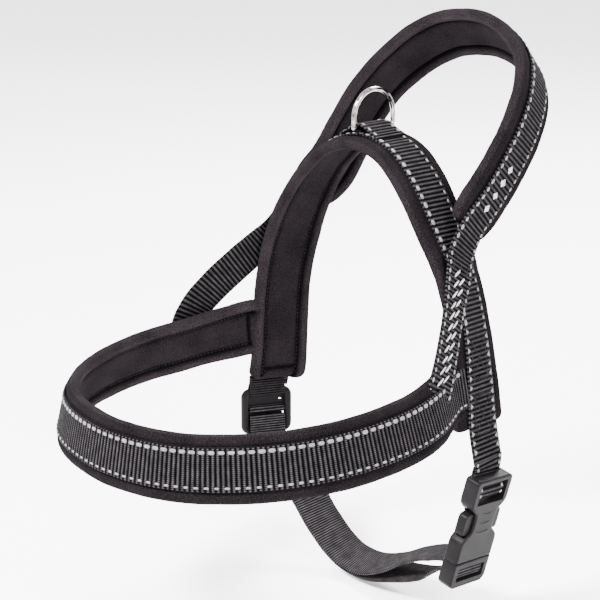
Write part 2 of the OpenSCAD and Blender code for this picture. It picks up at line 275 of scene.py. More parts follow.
RIGHT_BRACE_ROWS = [
    [-108.2, -68.2, -144, .04, .84, -.56], [-108.3, -64.6, -135.5, .06, .83, -.57],
    [-105.5, -59.5, -125, .1, .82, -.54], [-99.5, -48.5, -111, .15, .8, -.5],
    [-93.3, -33.5, -97.5, .15, .8, -.5], [-87.6, -19.5, -86, .1, .82, -.5],
    [-81.3, -9.5, -75.5, 0, .84, -.5], [-76.5, -1, -64, 0, .84, -.54],
]
HANDLE_ROWS = [
    [-74.4, 9.3, -51.3, .1, .78, -.6], [-68, 26.5, -33, .05, .78, -.6],
    [-68, 41, -14, 0, .76, -.63], [-67.5, 57, 6, -.05, .74, -.66],
    [-63, 69, 21, -.1, .72, -.68], [-54, 79, 34, -.12, .7, -.7],
    [-42, 87, 45, -.12, .68, -.72], [-24, 94, 54.5, -.12, .68, -.72],
    [-2, 98, 58, -.12, .68, -.72], [23, 96, 56.5, -.12, .68, -.72],
    [48, 90, 48, -.14, .7, -.7], [64, 82, 37.5, -.15, .73, -.66],
    [74, 71, 24, -.15, .77, -.62], [79.5, 57, 6, -.15, .78, -.6],
    [80, 42, -14, -.15, .78, -.6], [79, 26, -33, -.15, .78, -.6],
    [77.2, 9.3, -51.3, -.1, .8, -.58],
]
LEFT_BRACE_ROWS = [
    [79.5, -1, -64, 0, .84, -.54], [84.8, -8.5, -75, 0, .84, -.5],
    [91, -18, -89, -.12, .81, -.5], [97, -27.5, -104, -.15, .8, -.5],
    [102.6, -37, -119, -.12, .82, -.54], [107.0, -46, -133.5, -.06, .83, -.57],
    [107.6, -50.5, -142.5, -.04, .84, -.56],
]
# one length of webbing: up the right brace, round the handle, down the left brace
CROSS_ROUTE = Route(RIGHT_BRACE_ROWS + HANDLE_ROWS + LEFT_BRACE_ROWS, PAD_T)
RIGHT_PIVOT = float(CROSS_ROUTE.knots[len(RIGHT_BRACE_ROWS) - 1])
HANDLE_START = float(CROSS_ROUTE.knots[len(RIGHT_BRACE_ROWS)])
HANDLE_STOP = float(CROSS_ROUTE.knots[len(RIGHT_BRACE_ROWS) + len(HANDLE_ROWS) - 1])
LEFT_PIVOT = float(CROSS_ROUTE.knots[len(RIGHT_BRACE_ROWS) + len(HANDLE_ROWS)])

RING_Z = 3.95
KEEPER_ROUTE = Route([
    [-17, 0, -1.7, 0, 1, 0], [-12, 0, 0.9, 0, 1, 0], [-7.5, 0, 3.4, 0, 1, 0],
    [-4, 0, 5.45, 0, 1, 0], [0, 0, 6.2, 0, 1, 0], [4, 0, 5.45, 0, 1, 0],
    [7.5, 0, 3.6, 0, 1, 0], [12, 0, 1.6, 0, 1, 0], [17, 0, -0.2, 0, 1, 0],
], PAD_T)

BUCKLE_LOOP_ROUTE = Route([[104.3, 1.6, -185.6, 0, 1, -.02]] + [BUCKLE.row(x, z) for x, z in (
    (-3.4, 3), (-3.4, -1), (-3.0, -3.6), (-.6, -5.4), (2.2, -6.8), (3.4, -10),
    (2.2, -13.6), (-1.0, -15.2), (-3.8, -13.6), (-4.7, -10), (-5.0, -4), (-5.3, 1),
    (-5.3, 4.5))])
SLIDER_LOOP_ROUTE = Route([SLIDER.row(x, SLIDER_BAR + z) for x, z in (
    (3.4, 11), (3.3, 5), (3.0, 0.5), (1.9, -2.3), (0, -3.1), (-1.9, -2.3),
    (-3.0, 0.3), (-1.6, 3.2), (0.6, 6), (1.9, 12))])


def lifted(rows: Sequence[Row]) -> list[list[float]]:
    """Rows raised by the pad's thickness."""
    return [[r[0], r[1], r[2] + PAD_T, *r[3:]] for r in rows]


BELLY_ROUTE = Route(
    [SLIDER.row(x, z) for x, z in ((2.9, 0), (2.1, 2.2), (0, 3.1), (-2.1, 2.2),
                                   (-3.1, -0.5), (-3.3, -7), (-3.1, -14), (-1.2, -19),
                                   (4, -23.5))]
    + lifted([[-75.5, -6, -237, .33, .9, .2], [-55.5, -6.2, -254.5, .25, .9, .28],
              [-36.5, -6.6, -272.5, .15, .91, .33], [-11, -7, -287.5, .05, .92, .36],
              [14, -7.3, -290, 0, .93, .34], [40, -7, -284.5, -.04, .95, .25],
              [65, -6.2, -277, -.06, .98, .1]])
    + [BUCKLE.row(x, PLUG_BAR + z) for x, z in ((-9, -3.6), (-2.5, -3.6), (.8, -3.7),
                                                (3.2, -2.7), (4.0, 0), (3.2, 2.7),
                                                (.8, 3.7))])
RETURN_ROUTE = Route(
    [SLIDER.row(x, z) for x, z in ((3.05, -2.2), (3.4, -7), (4.2, -13), (7, -18.8))]
    + lifted([[-73.9, -6.6, -235.8, .33, .9, .2], [-53.9, -6.8, -253, .25, .9, .28],
              [-35.3, -7.3, -270.8, .15, .91, .33], [-10.4, -7.7, -285.6, .05, .92, .36],
              [10, -8, -287, 0, .92, .36], [31, -7.6, -280, -.02, .94, .3],
              [52, -6.5, -268.5, -.05, .97, .2], [72, -5.5, -261, -.06, .98, .15]])
    + [BUCKLE.row(x, PLUG_BAR + z) for x, z in ((-9, 3.4), (-2.6, 3.7), (.3, 3.75))])

# ------------------------------------------------------------------ finishes


class NodeTree:
    """A node tree, with short calls that add its nodes and link them."""

    prefix = ""

    def __init__(self, tree: bpy.types.NodeTree) -> None:
        """Takes the tree that is added to."""
        self.tree = tree

    def put(self, socket: bpy.types.NodeSocket, value: object) -> None:
        """Links a socket to value, or sets its default to it.

        Args:
            socket: an input of a node.
            value: an output to link, or a number, colour or name.
        """
        if isinstance(value, bpy.types.NodeSocket):
            self.tree.links.new(value, socket)
        else:
            socket.default_value = value

    def node(self, kind: str, inputs: dict[str | int, object] | None = None,
             **props: object) -> bpy.types.Node:
        """Adds a node.

        Args:
            kind: the node's type, without the class's prefix.
            inputs: values or sockets by the input's name or number.
            **props: the node's own settings.

        Returns:
            The new node.
        """
        new = self.tree.nodes.new(self.prefix + kind)
        for key, value in props.items():
            setattr(new, key, value)
        for key, value in (inputs or {}).items():
            self.put(new.inputs[key], value)
        return new


class Shader(NodeTree):
    """A material's nodes, which end in one Principled BSDF."""

    prefix = "ShaderNode"

    def __init__(self, name: str) -> None:
        """Starts a material."""
        self.material = bpy.data.materials.new(name)
        self.material.use_nodes = True
        super().__init__(self.material.node_tree)
        self.bsdf = self.tree.nodes["Principled BSDF"]

    def math(self, operation: str, *values: object) -> bpy.types.NodeSocket:
        """The result of a Math node on one to three values."""
        return self.node("Math", dict(enumerate(values)), operation=operation).outputs[0]

    def total(self, *terms: tuple[object, float]) -> bpy.types.NodeSocket:
        """The sum of values, each times its weight.

        Args:
            *terms: pairs of a value and a weight.

        Returns:
            The sum.
        """
        result = self.math("MULTIPLY", *terms[0])
        for value, weight in terms[1:]:
            result = self.math("MULTIPLY_ADD", value, weight, result)
        return result

    def ridge(self, value: object, pitch: float) -> bpy.types.NodeSocket:
        """A row of rounded ridges, 0 to 1, one every pitch."""
        turned = self.math("MULTIPLY", value, math.pi / pitch)
        return self.math("ABSOLUTE", self.math("SINE", turned))

    def noise(self, vector: object, scale: float, detail: float = 3.0) -> bpy.types.NodeSocket:
        """Noise, about 0.3 to 0.7, on a vector socket."""
        inputs = {"Vector": vector, "Scale": scale, "Detail": detail}
        return self.node("TexNoise", inputs).outputs[0]

    def spread(self, value: object, low: float, high: float) -> bpy.types.NodeSocket:
        """Value stretched so that low becomes 0 and high becomes 1."""
        return self.node("MapRange", {0: value, 1: low, 2: high}).outputs[0]

    def cloth(self) -> tuple[bpy.types.NodeSocket, ...]:
        """The piece's own UV map in millimetres: the vector, across and along.

        Returns:
            The three sockets.
        """
        vector = self.node("UVMap", uv_map="cloth").outputs[0]
        parts = self.node("SeparateXYZ", {0: vector})
        return vector, parts.outputs[0], parts.outputs[1]

    def object_point(self) -> bpy.types.NodeSocket:
        """Object coordinates, in metres."""
        return self.node("TexCoord").outputs["Object"]

    def colour(self, factor: object, low: Row, high: Row) -> None:
        """Colours the surface from low to high by a factor.

        Args:
            factor: 0 to 1.
            low: colour at 0.
            high: colour at 1.
        """
        new = self.node("ValToRGB", {"Fac": factor})
        for stop, colour in zip(new.color_ramp.elements, (low, high)):
            stop.color = (*colour, 1)
        self.put(self.bsdf.inputs["Base Color"], new.outputs[0])

    def bump(self, height: object, distance: float, strength: float = 1.0) -> None:
        """Sends a height to the shader's normal."""
        new = self.node("Bump", {"Height": height, "Distance": distance, "Strength": strength})
        self.put(self.bsdf.inputs["Normal"], new.outputs[0])

    def surface(self, roughness: object, **values: float) -> bpy.types.Material:
        """Sets the roughness and the shader's own even values.

        Args:
            roughness: a number, or a socket where it varies.
            **values: numbers by input name, with _ for a space.

        Returns:
            The finished material.
        """
        self.put(self.bsdf.inputs["Roughness"], roughness)
        for key, value in values.items():
            self.put(self.bsdf.inputs[key.replace("_", " ")], value)
        return self.material


@dataclass(frozen=True)
class RibbedWebbing:
    """Woven webbing: cords across it, and fine warp yarns over them.

    Attributes:
        name: the material's name.
        pitch: distance between cords, along.
        yarn: distance between warp yarns, across.
        dark: colour in the grooves, painted shade on the black yarn.
        light: colour on the crowns, the black yarn with a painted highlight.
        shine: roughness.
    """

    name: str
    pitch: float = RIB_PITCH
    yarn: float = 1.15
    dark: tuple[float, float, float] = (0.0004, 0.0004, 0.0004)
    light: tuple[float, float, float] = (0.042, 0.038, 0.0415)
    shine: float = 0.6

    def make(self) -> bpy.types.Material:
        """Builds the finish.

        Returns:
            The material.
        """
        sh = Shader(self.name)
        vector, across, along = sh.cloth()
        wander = sh.math("MULTIPLY", sh.math("SUBTRACT", sh.noise(vector, 0.35, 2), 0.5), 0.5)
        cord = sh.ridge(sh.math("ADD", along, wander), self.pitch)
        yarn = sh.ridge(sh.math("ADD", across, wander), self.yarn)
        fine = sh.ridge(sh.math("ADD", along, across), 0.42)
        # painted light: bead and lie run the colour from painted shade in the grooves between the
        # cords to a painted highlight on their crowns, beaded along the warp yarns; patchy varies
        # it at random
        bead = sh.math("MULTIPLY_ADD", sh.math("POWER", yarn, 1.6), 0.95, 0.22)
        lie = sh.math("MULTIPLY", sh.math("POWER", cord, 3.6), bead)
        patchy = sh.spread(sh.noise(vector, 0.16, 5), 0.3, 0.72)
        tone = sh.math("MULTIPLY", lie, sh.math("MULTIPLY_ADD", patchy, 0.6, 0.45))
        sh.colour(tone, self.dark, self.light)
        sh.bump(sh.total((yarn, 0.55), (fine, 0.16), (cord, 0.25)), 0.0006)
        return sh.surface(self.shine, Specular_IOR_Level=0.015)


@dataclass(frozen=True)
class KnittedNeoprene:
    """Soft foam under a fine knitted face, faintly brown."""

    name: str = "neoprene_knit"
    dark: tuple[float, float, float] = (0.0004, 0.0003, 0.0004)
    light: tuple[float, float, float] = (0.0176, 0.0141, 0.0165)

    def make(self) -> bpy.types.Material:
        """Builds the finish.

        Returns:
            The material.
        """
        sh = Shader(self.name)
        vector, across, along = sh.cloth()
        wale = sh.ridge(across, 1.15)
        course = sh.ridge(sh.math("MULTIPLY_ADD", wale, 0.3, along), 1.0)
        knit = sh.math("MULTIPLY", wale, course)
        cloud = sh.spread(sh.noise(sh.object_point(), 55, 4), 0.3, 0.72)
        fuzz = sh.spread(sh.noise(vector, 1.05, 2), 0.40, 0.60)
        # painted shade in the pad's seams and grooves and a painted highlight on its roll crests,
        # read from the points, scale the colour
        painted_shading = sh.node("Attribute", attribute_name="painted_shading").outputs["Fac"]
        tone = sh.total((knit, 0.2), (cloud, 0.26), (fuzz, 0.42))
        tone = sh.math("MULTIPLY", tone, sh.math("MULTIPLY_ADD", painted_shading, 0.72, 1.0))
        sh.colour(tone, self.dark, self.light)
        sh.bump(sh.math("ADD", knit, fuzz), 0.0003)
        return sh.surface(0.8, Specular_IOR_Level=0.005, Sheen_Weight=0.005,
                          Sheen_Roughness=0.4)


@dataclass(frozen=True)
class Yarn:
    """Yarn of stitches and woven dashes.

    Attributes:
        name: the material's name.
        low: colour of the shaded strands.
        high: colour of the lit strands.
        roughness: surface roughness.
        shine: specular level.
    """

    name: str
    low: tuple[float, float, float]
    high: tuple[float, float, float]
    roughness: float = 0.45
    shine: float = 0.1

    def make(self) -> bpy.types.Material:
        """Builds the finish.

        Returns:
            The material.
        """
        sh = Shader(self.name)
        point = sh.object_point()
        strand = sh.noise(point, 2600, 2)
        tone = sh.spread(sh.noise(point, 420, 3), 0.32, 0.68)
        sh.colour(sh.total((strand, 0.55), (tone, 0.5)), self.low, self.high)
        sh.bump(strand, 0.0002, 0.7)
        return sh.surface(self.roughness, Specular_IOR_Level=self.shine)


@dataclass(frozen=True)
class MouldedPlastic:
    """Spark-eroded acetal, dark grey, scuffed a little paler here and there."""

    name: str = "moulded_plastic"
    dark: tuple[float, float, float] = (0.0014, 0.0012, 0.0014)
    light: tuple[float, float, float] = (0.0064, 0.0052, 0.0061)

    def make(self) -> bpy.types.Material:
        """Builds the finish.

        Returns:
            The material.
        """
        sh = Shader(self.name)
        point = sh.object_point()
        grain = sh.noise(point, 3200, 3)
        cloud = sh.spread(sh.noise(point, 90, 5), 0.32, 0.7)
        rub = sh.spread(sh.noise(point, 700, 6), 0.56, 0.72)
        tone = sh.total((cloud, 0.4), (grain, 0.5), (rub, 0.25))
        sh.colour(tone, self.dark, self.light)
        sh.bump(grain, 0.00012, 0.6)
        return sh.surface(sh.math("MULTIPLY_ADD", cloud, 0.14, 0.33), Specular_IOR_Level=0.05)


@dataclass(frozen=True)
class PolishedSteel:
    """Plated wire, with faint drawing lines and a little haze."""

    name: str = "polished_steel"
    dark: tuple[float, float, float] = (0.07, 0.065, 0.063)
    light: tuple[float, float, float] = (0.46, 0.44, 0.43)

    def make(self) -> bpy.types.Material:
        """Builds the finish.

        Returns:
            The material.
        """
        sh = Shader(self.name)
        point = sh.object_point()
        haze = sh.spread(sh.noise(point, 260, 4), 0.35, 0.7)
        sh.colour(haze, self.dark, self.light)
        sh.bump(sh.noise(point, 3000, 2), 0.00003, 0.4)
        return sh.surface(sh.math("MULTIPLY_ADD", haze, 0.12, 0.07), Metallic=1.0)


WEBBING = RibbedWebbing("ribbed_webbing").make()
STRAP = RibbedWebbing("belly_strap_weave", STRAP_PITCH, 0.85, (0.0008, 0.0008, 0.0008),
                      (0.068, 0.061, 0.067), 0.65).make()
# the strap's weave with its painted highlight on the crowns half as bright, for the loop on the
# slider
TAIL = RibbedWebbing("sewn_tail_weave", STRAP_PITCH, 0.85, light=(0.034, 0.030, 0.033),
                     shine=0.65).make()
NEOPRENE = KnittedNeoprene().make()
SILVER = Yarn("reflective_yarn", (0.045, 0.043, 0.046), (0.165, 0.157, 0.166), 0.5).make()
BRIGHT = Yarn("reflective_marks", (0.12, 0.12, 0.122), (0.48, 0.48, 0.485)).make()
THREAD = Yarn("black_thread", (0.0006, 0.0006, 0.0006), (0.020, 0.018, 0.020), 0.6,
              0.015).make()
PLASTIC = MouldedPlastic().make()
STEEL = PolishedSteel().make()

# ------------------------------------------------------------------ mesh makers


def publish(name: str, mesh: bpy.types.Mesh, material: bpy.types.Material,
            smooth_angle: float = 50.0) -> bpy.types.Object:
    """Puts a mesh in the scene as a finished object at the origin.

    Args:
        name: the piece's name.
        mesh: its mesh, in metres in the frame.
        material: its finish.
        smooth_angle: edges sharper than this many degrees stay sharp.

    Returns:
        The object.
    """
    mesh.materials.clear()
    mesh.materials.append(material)
    mesh.polygons.foreach_set("use_smooth", [True] * len(mesh.polygons))
    mesh.set_sharp_from_angle(angle=math.radians(smooth_angle))
    for face in mesh.polygons:
        if len(face.vertices) > 8:
            face.use_smooth = False
    mesh.update()
    piece = bpy.data.objects.new(name, mesh)
    bpy.context.collection.objects.link(piece)
    return piece


def loft(name: str, rings: Array, uv: Array, closed: bool = False) -> bpy.types.Mesh:
    """A closed skin through rings of points.

    Args:
        name: the mesh's name.
        rings: points, shape (rings, around, 3), in metres.
        uv: map in millimetres, shape (rings, around + 1, 2).
        closed: whether the last ring joins the first, in place of end caps.

    Returns:
        The mesh, with its faces outward for a profile that runs over the top along
        +across and back underneath.
    """
    count, around = rings.shape[:2]
    spans = count if closed else count - 1
    k, j = np.meshgrid(np.arange(spans), np.arange(around), indexing="ij")
    k, j = k.ravel(), j.ravel()
    k2, j2 = (k + 1) % count, (j + 1) % around
    quads = np.stack([k * around + j, k2 * around + j, k2 * around + j2, k * around + j2], 1)
    caps = [] if closed else [list(range(around)),
                              [(count - 1) * around + i for i in reversed(range(around))]]
    mesh = bpy.data.meshes.new(name)
    mesh.from_pydata(rings.reshape(-1, 3).tolist(), [], quads.tolist() + caps)
    layer = mesh.uv_layers.new(name="cloth")
    flat = np.stack([uv[k, j], uv[k2, j], uv[k2, j + 1], uv[k, j + 1]], 1).reshape(-1, 2)
    ends = [uv[0, i] for i in range(around)] + [uv[-1, i] for i in reversed(range(around))]
    every = flat if closed else np.vstack([flat, ends])
    layer.data.foreach_set("uv", every.astype(np.float32).ravel())
    return mesh


def profile_uv(a: Array, n: Array, s: Array) -> Array:
    """A UV map of distance round the profile and distance along.

    Args:
        a: the rings' points, across.
        n: the rings' points, out.
        s: distance of each ring.

    Returns:
        The map, with the first point of each ring repeated at its end.
    """
    da = np.diff(a, axis=1, append=a[:, :1])
    dn = np.diff(n, axis=1, append=n[:, :1])
    round_it = np.concatenate([np.zeros((len(s), 1)), np.cumsum(np.hypot(da, dn), axis=1)], 1)
    return np.stack([round_it, np.repeat(s[:, None], round_it.shape[1], 1)], -1)


def hump(x: Array, middle: float, width: float) -> Array:
    """A smooth hill, 1 at middle and about a third at width from it."""
    return np.exp(-((x - middle) / width) ** 2)


def quarter(x: Array, reach: float) -> Array:
    """A quarter circle that rises from 0 to 1 over reach."""
    return np.sqrt(1 - (1 - np.clip(x / reach, 0, 1)) ** 2)


def ripple(s: Array, place: Array, waves: Sequence[Row]) -> Array:
    """A sum of waves along s, each [length, shift per place, phase, height].

    Args:
        s: distances along.
        place: where each point is, which shifts the waves.
        waves: one row for each wave.

    Returns:
        The height at each point.
    """
    total = np.zeros(np.broadcast(s, place).shape)
    for length, shift, phase, height in waves:
        total = total + height * np.sin(2 * math.pi * s / length + shift * place + phase)
    return total


def tube(points: Array, radii: Row, sides: int = 20, closed: bool = False) -> tuple[Array, Array]:
    """Rings of an oval tube on a path that stays in one plane.

    Args:
        points: the path, in local millimetres.
        radii: half sizes across the plane and in it.
        sides: points round the tube.
        closed: whether the path is a loop.

    Returns:
        The rings and their UV map.
    """
    if closed:
        tangent = np.roll(points, -1, 0) - np.roll(points, 1, 0)
    else:
        tangent = np.gradient(points, axis=0)
    tangent /= np.linalg.norm(tangent, axis=1)[:, None]
    normal = np.array([1.0, 0, 0])
    inward = np.cross(tangent, normal)
    turn = np.linspace(0, 2 * math.pi, sides, endpoint=False)
    rings = (points[:, None] + radii[0] * np.cos(turn)[None, :, None] * normal
             + radii[1] * np.sin(turn)[None, :, None] * inward[:, None])
    steps = np.linalg.norm(np.diff(points, axis=0), axis=1)
    s = np.concatenate([[0], np.cumsum(steps)])
    girth = np.linspace(0, 2 * math.pi * radii[0], sides + 1)
    return rings, np.stack(np.broadcast_arrays(girth[None], s[:, None]), -1)


def smoothed(points: Sequence[Row] | Array, parts: int, closed: bool = False) -> Array:
    """A smooth line through points.

    Args:
        points: the corners, which the line passes through.
        parts: how many steps each side is cut into.
        closed: whether the last point joins the first.

    Returns:
        The line's points.
    """
    corners = np.array(points, float)
    if closed:
        p0, p1, p2, p3 = (np.roll(corners, k, 0)[:, None] for k in (1, 0, -1, -2))
    else:
        ends = 2 * corners[[0, -1]] - corners[[1, -2]]
        row = np.vstack([ends[:1], corners, ends[1:]])[:, None]
        p0, p1, p2, p3 = row[:-3], row[1:-2], row[2:-1], row[3:]
    u = (np.arange(parts) / parts)[None, :, None]
    line = 0.5 * (2 * p1 + (p2 - p0) * u + (2 * p0 - 5 * p1 + 4 * p2 - p3) * u**2
                  + (3 * p1 - p0 - 3 * p2 + p3) * u**3)
    line = line.reshape(-1, corners.shape[1])
    return line if closed else np.vstack([line, corners[-1:]])


def written(work: bmesh.types.BMesh, mesh: bpy.types.Mesh) -> bpy.types.Mesh:
    """Writes a working mesh to a plain one, and gives the plain one.

    Args:
        work: what is written, then freed.
        mesh: what takes it.

    Returns:
        The plain mesh.
    """
    work.to_mesh(mesh)
    work.free()
    return mesh


def local_mesh(mesh: bpy.types.Mesh, place: Place | None) -> bpy.types.Mesh:
    """Moves a mesh made in local millimetres to its place, faces outward.

    Args:
        mesh: what is moved.
        place: the local frame, or none for the harness's own.

    Returns:
        The same mesh, in metres.
    """
    work = bmesh.new()
    work.from_mesh(mesh)
    bmesh.ops.recalc_face_normals(work, faces=work.faces)
    written(work, mesh)
    mesh.transform(place.matrix() if place else Matrix.Scale(MM, 4))
    return mesh


# ------------------------------------------------------------------ stitches


class StitchTree(NodeTree):
    """The Geometry Nodes tree that lays yarn dashes on points of a row."""

    smallest = (0.9, 0.88, 0.85)
    largest = (1.08, 1.1, 1.1)

    def __init__(self) -> None:
        """Builds the tree, with inputs for the dash's sizes."""
        super().__init__(bpy.data.node_groups.new("yarn_dashes", "GeometryNodeTree"))
        face = self.tree.interface
        face.new_socket("Geometry", in_out="INPUT", socket_type="NodeSocketGeometry")
        self.sockets: dict[str, str] = {}
        for name, kind in (("Length", "Float"), ("Width", "Float"), ("Height", "Float"),
                           ("Sides", "Int"), ("Seed", "Int"), ("Finish", "Material")):
            item = face.new_socket(name, in_out="INPUT", socket_type="NodeSocket" + kind)
            self.sockets[name] = item.identifier
        face.new_socket("Geometry", in_out="OUTPUT", socket_type="NodeSocketGeometry")
        given = self.node("NodeGroupInput")
        shape = self.dash(given)
        aims = [self.node("GeometryNodeInputNamedAttribute", {"Name": name},
                          data_type="FLOAT_VECTOR").outputs[0] for name in ("out", "heading")]
        axes = self.node("FunctionNodeAxesToRotation", {0: aims[0], 1: aims[1]},
                         primary_axis="Z", secondary_axis="X")
        vary = self.node("FunctionNodeRandomValue", {
            0: self.smallest, 1: self.largest, "Seed": given.outputs["Seed"],
        }, data_type="FLOAT_VECTOR")
        lay = self.node("GeometryNodeInstanceOnPoints", {
            "Points": given.outputs["Geometry"], "Instance": shape,
            "Rotation": axes.outputs[0], "Scale": vary.outputs[0]})
        real = self.node("GeometryNodeRealizeInstances", {0: lay.outputs[0]})
        finish = self.node("GeometryNodeSetMaterial", {
            "Geometry": real.outputs[0], "Material": given.outputs["Finish"]})
        self.node("NodeGroupOutput", {0: finish.outputs[0]})

    def dash(self, given: bpy.types.Node) -> bpy.types.NodeSocket:
        """One dash of the given sizes: a dome of few sides, or a soft bar.

        Args:
            given: the tree's input node.

        Returns:
            The dash's geometry.
        """
        sides = given.outputs["Sides"]
        dome = self.node("GeometryNodeMeshUVSphere", {
            "Rings": 6, "Radius": 0.5, "Segments": sides})
        brick = self.node("GeometryNodeMeshCube")
        soft = self.node("GeometryNodeSubdivisionSurface", {
            "Mesh": brick.outputs["Mesh"], "Level": 2, "Edge Crease": 0.2})
        many = self.node("FunctionNodeCompare", {2: sides, 3: DashShape.DIAMOND.value},
                         data_type="INT", operation="GREATER_THAN")
        pick = self.node("GeometryNodeSwitch", {
            0: many.outputs[0], 1: dome.outputs["Mesh"], 2: soft.outputs["Mesh"],
        }, input_type="GEOMETRY")
        size = self.node("ShaderNodeCombineXYZ", {
            "X": given.outputs["Length"], "Y": given.outputs["Width"],
            "Z": given.outputs["Height"]})
        return self.node("GeometryNodeTransform", {
            "Geometry": pick.outputs[0], "Scale": size.outputs[0]}).outputs[0]


STITCHES = StitchTree()


@dataclass
class Dashes:
    """Yarn dashes to be laid on a band.

    Attributes:
        length: size along the heading.
        width: size across the heading.
        height: whole thickness, half of it sunk.
        shape: outline of a dash.
        finish: its yarn.
        points: where the dashes lie, in metres.
        outs: directions out of the band at them.
        headings: directions that they point in.
    """

    length: float
    width: float
    height: float = 1.0
    shape: DashShape = DashShape.BAR
    finish: bpy.types.Material = field(default_factory=lambda: SILVER)
    points: list[Array] = field(default_factory=list)
    outs: list[Array] = field(default_factory=list)
    headings: list[Array] = field(default_factory=list)

    def on_band(self, route: Route, s: Array, a: Array, n: float,
                slant: float = 0.0, flip: bool = False) -> None:
        """Adds dashes at distances s along and a across, n out.

        Args:
            route: the band's route.
            s: distances along.
            a: distances across, one for each or one for all.
            n: height over the route.
            slant: degrees from the band's own direction to the dash's heading.
            flip: whether the dashes sit on the inner face.
        """
        f = route.frames(np.asarray(s, float))
        a = np.broadcast_to(np.asarray(a, float), f.s.shape)
        self.points.append(f.at(a[:, None], np.full((len(a), 1), n))[:, 0])
        self.outs.append(-f.out if flip else f.out)
        c, d = math.cos(math.radians(slant)), math.sin(math.radians(slant))
        self.headings.append(c * f.along + d * f.across)

    def edges(self, route: Route, s: Array, n: float) -> None:
        """Adds a row of dashes along each edge of the band."""
        for a in (-DASH_ROW, DASH_ROW):
            self.on_band(route, s, a, n)

    def inward(self, route: Route, s: Array, a: float, n: float) -> None:
        """Adds dashes that point from a row towards the band's middle line."""
        self.on_band(route, s, a, n, -90.0 if a > 0 else 90.0)

    def line(self, route: Route, path: Sequence[tuple[float, float]], n: float = SEWN,
             pitch: float = SEAM_PITCH, flip: bool = False) -> None:
        """Adds dashes end to end on a path of (along, across) points.

        Args:
            route: the band's route.
            path: corners of the path.
            n: height over the route.
            pitch: distance between dashes, about.
            flip: whether they sit on the inner face.
        """
        corners = np.array(path, float)
        for p, q in zip(corners[:-1], corners[1:]):
            count = max(1, round(float(np.linalg.norm(q - p)) / pitch))
            t = (np.arange(count) + 0.5) / count
            spots = p + (q - p) * t[:, None]
            slant = math.degrees(math.atan2(q[1] - p[1], q[0] - p[0]))
            self.on_band(route, spots[:, 0], spots[:, 1], n, slant, flip)

    def over(self, route: Route, s: float, half: float, n: float = SEWN,
             pitch: float = SEAM_PITCH, flip: bool = False) -> None:
        """Adds a row straight across the band at s, half to each side."""
        self.line(route, [(s, -half), (s, half)], n, pitch, flip)

    def box(self, route: Route, p: float, q: float, half: float = 7.0) -> None:
        """Adds a sewn box between distances p and q, with one diagonal."""
        self.line(route, [(p, -half), (q, -half), (q, half), (p, half), (p, -half), (q, half)])

    def lay(self, name: str, seed: int) -> bpy.types.Object:
        """Lays the dashes as one plain mesh, not yet riding on anything.

        Args:
            name: the piece's name.
            seed: what varies their sizes.

        Returns:
            The piece.
        """
        mesh = bpy.data.meshes.new(name)
        mesh.from_pydata(np.vstack(self.points).tolist(), [], [])
        for key, rows in (("out", self.outs), ("heading", self.headings)):
            data = mesh.attributes.new(key, "FLOAT_VECTOR", "POINT").data
            data.foreach_set("vector", np.vstack(rows).astype(np.float32).ravel())
        seedling = bpy.data.objects.new(name + "_rows", mesh)
        bpy.context.collection.objects.link(seedling)
        modifier = seedling.modifiers.new("dashes", "NODES")
        modifier.node_group = STITCHES.tree
        for key, value in (("Length", self.length * MM), ("Width", self.width * MM),
                           ("Height", self.height * MM), ("Sides", self.shape.value),
                           ("Seed", seed), ("Finish", self.finish)):
            modifier[STITCHES.sockets[key]] = value
        graph = bpy.context.evaluated_depsgraph_get()
        plain = bpy.data.meshes.new_from_object(seedling.evaluated_get(graph))
        bpy.data.objects.remove(seedling)
        return publish(name, plain, self.finish, 75)

    def make(self, name: str, seed: int) -> None:
        """Lays the dashes and rides them on the harness."""
        settle(self.lay(name, seed), Body.HARNESS)


def thread_rows(width: float = 0.75) -> Dashes:
    """Black stitches, to be laid along seams."""
    return Dashes(2.0, width, 0.7, finish=THREAD)


def settle(piece: bpy.types.Object, body: Body, nodes: Sequence[str] = ()) -> None:
    """Rides a piece on a body and hides the CAD nodes that it stands for."""
    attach(piece, body.value)
    dress(piece, nodes)


def dress(piece: bpy.types.Object, nodes: Sequence[str] = ()) -> None:
    """Hides the CAD nodes that a piece stands for, and logs its face count.

    Args:
        piece: a piece, riding on a body or on none.
        nodes: the CAD nodes that it replaces.
    """
    if nodes:
        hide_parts(*nodes)
    log.info("%s: %d faces", piece.name, len(piece.data.polygons))


# ------------------------------------------------------------------ bands


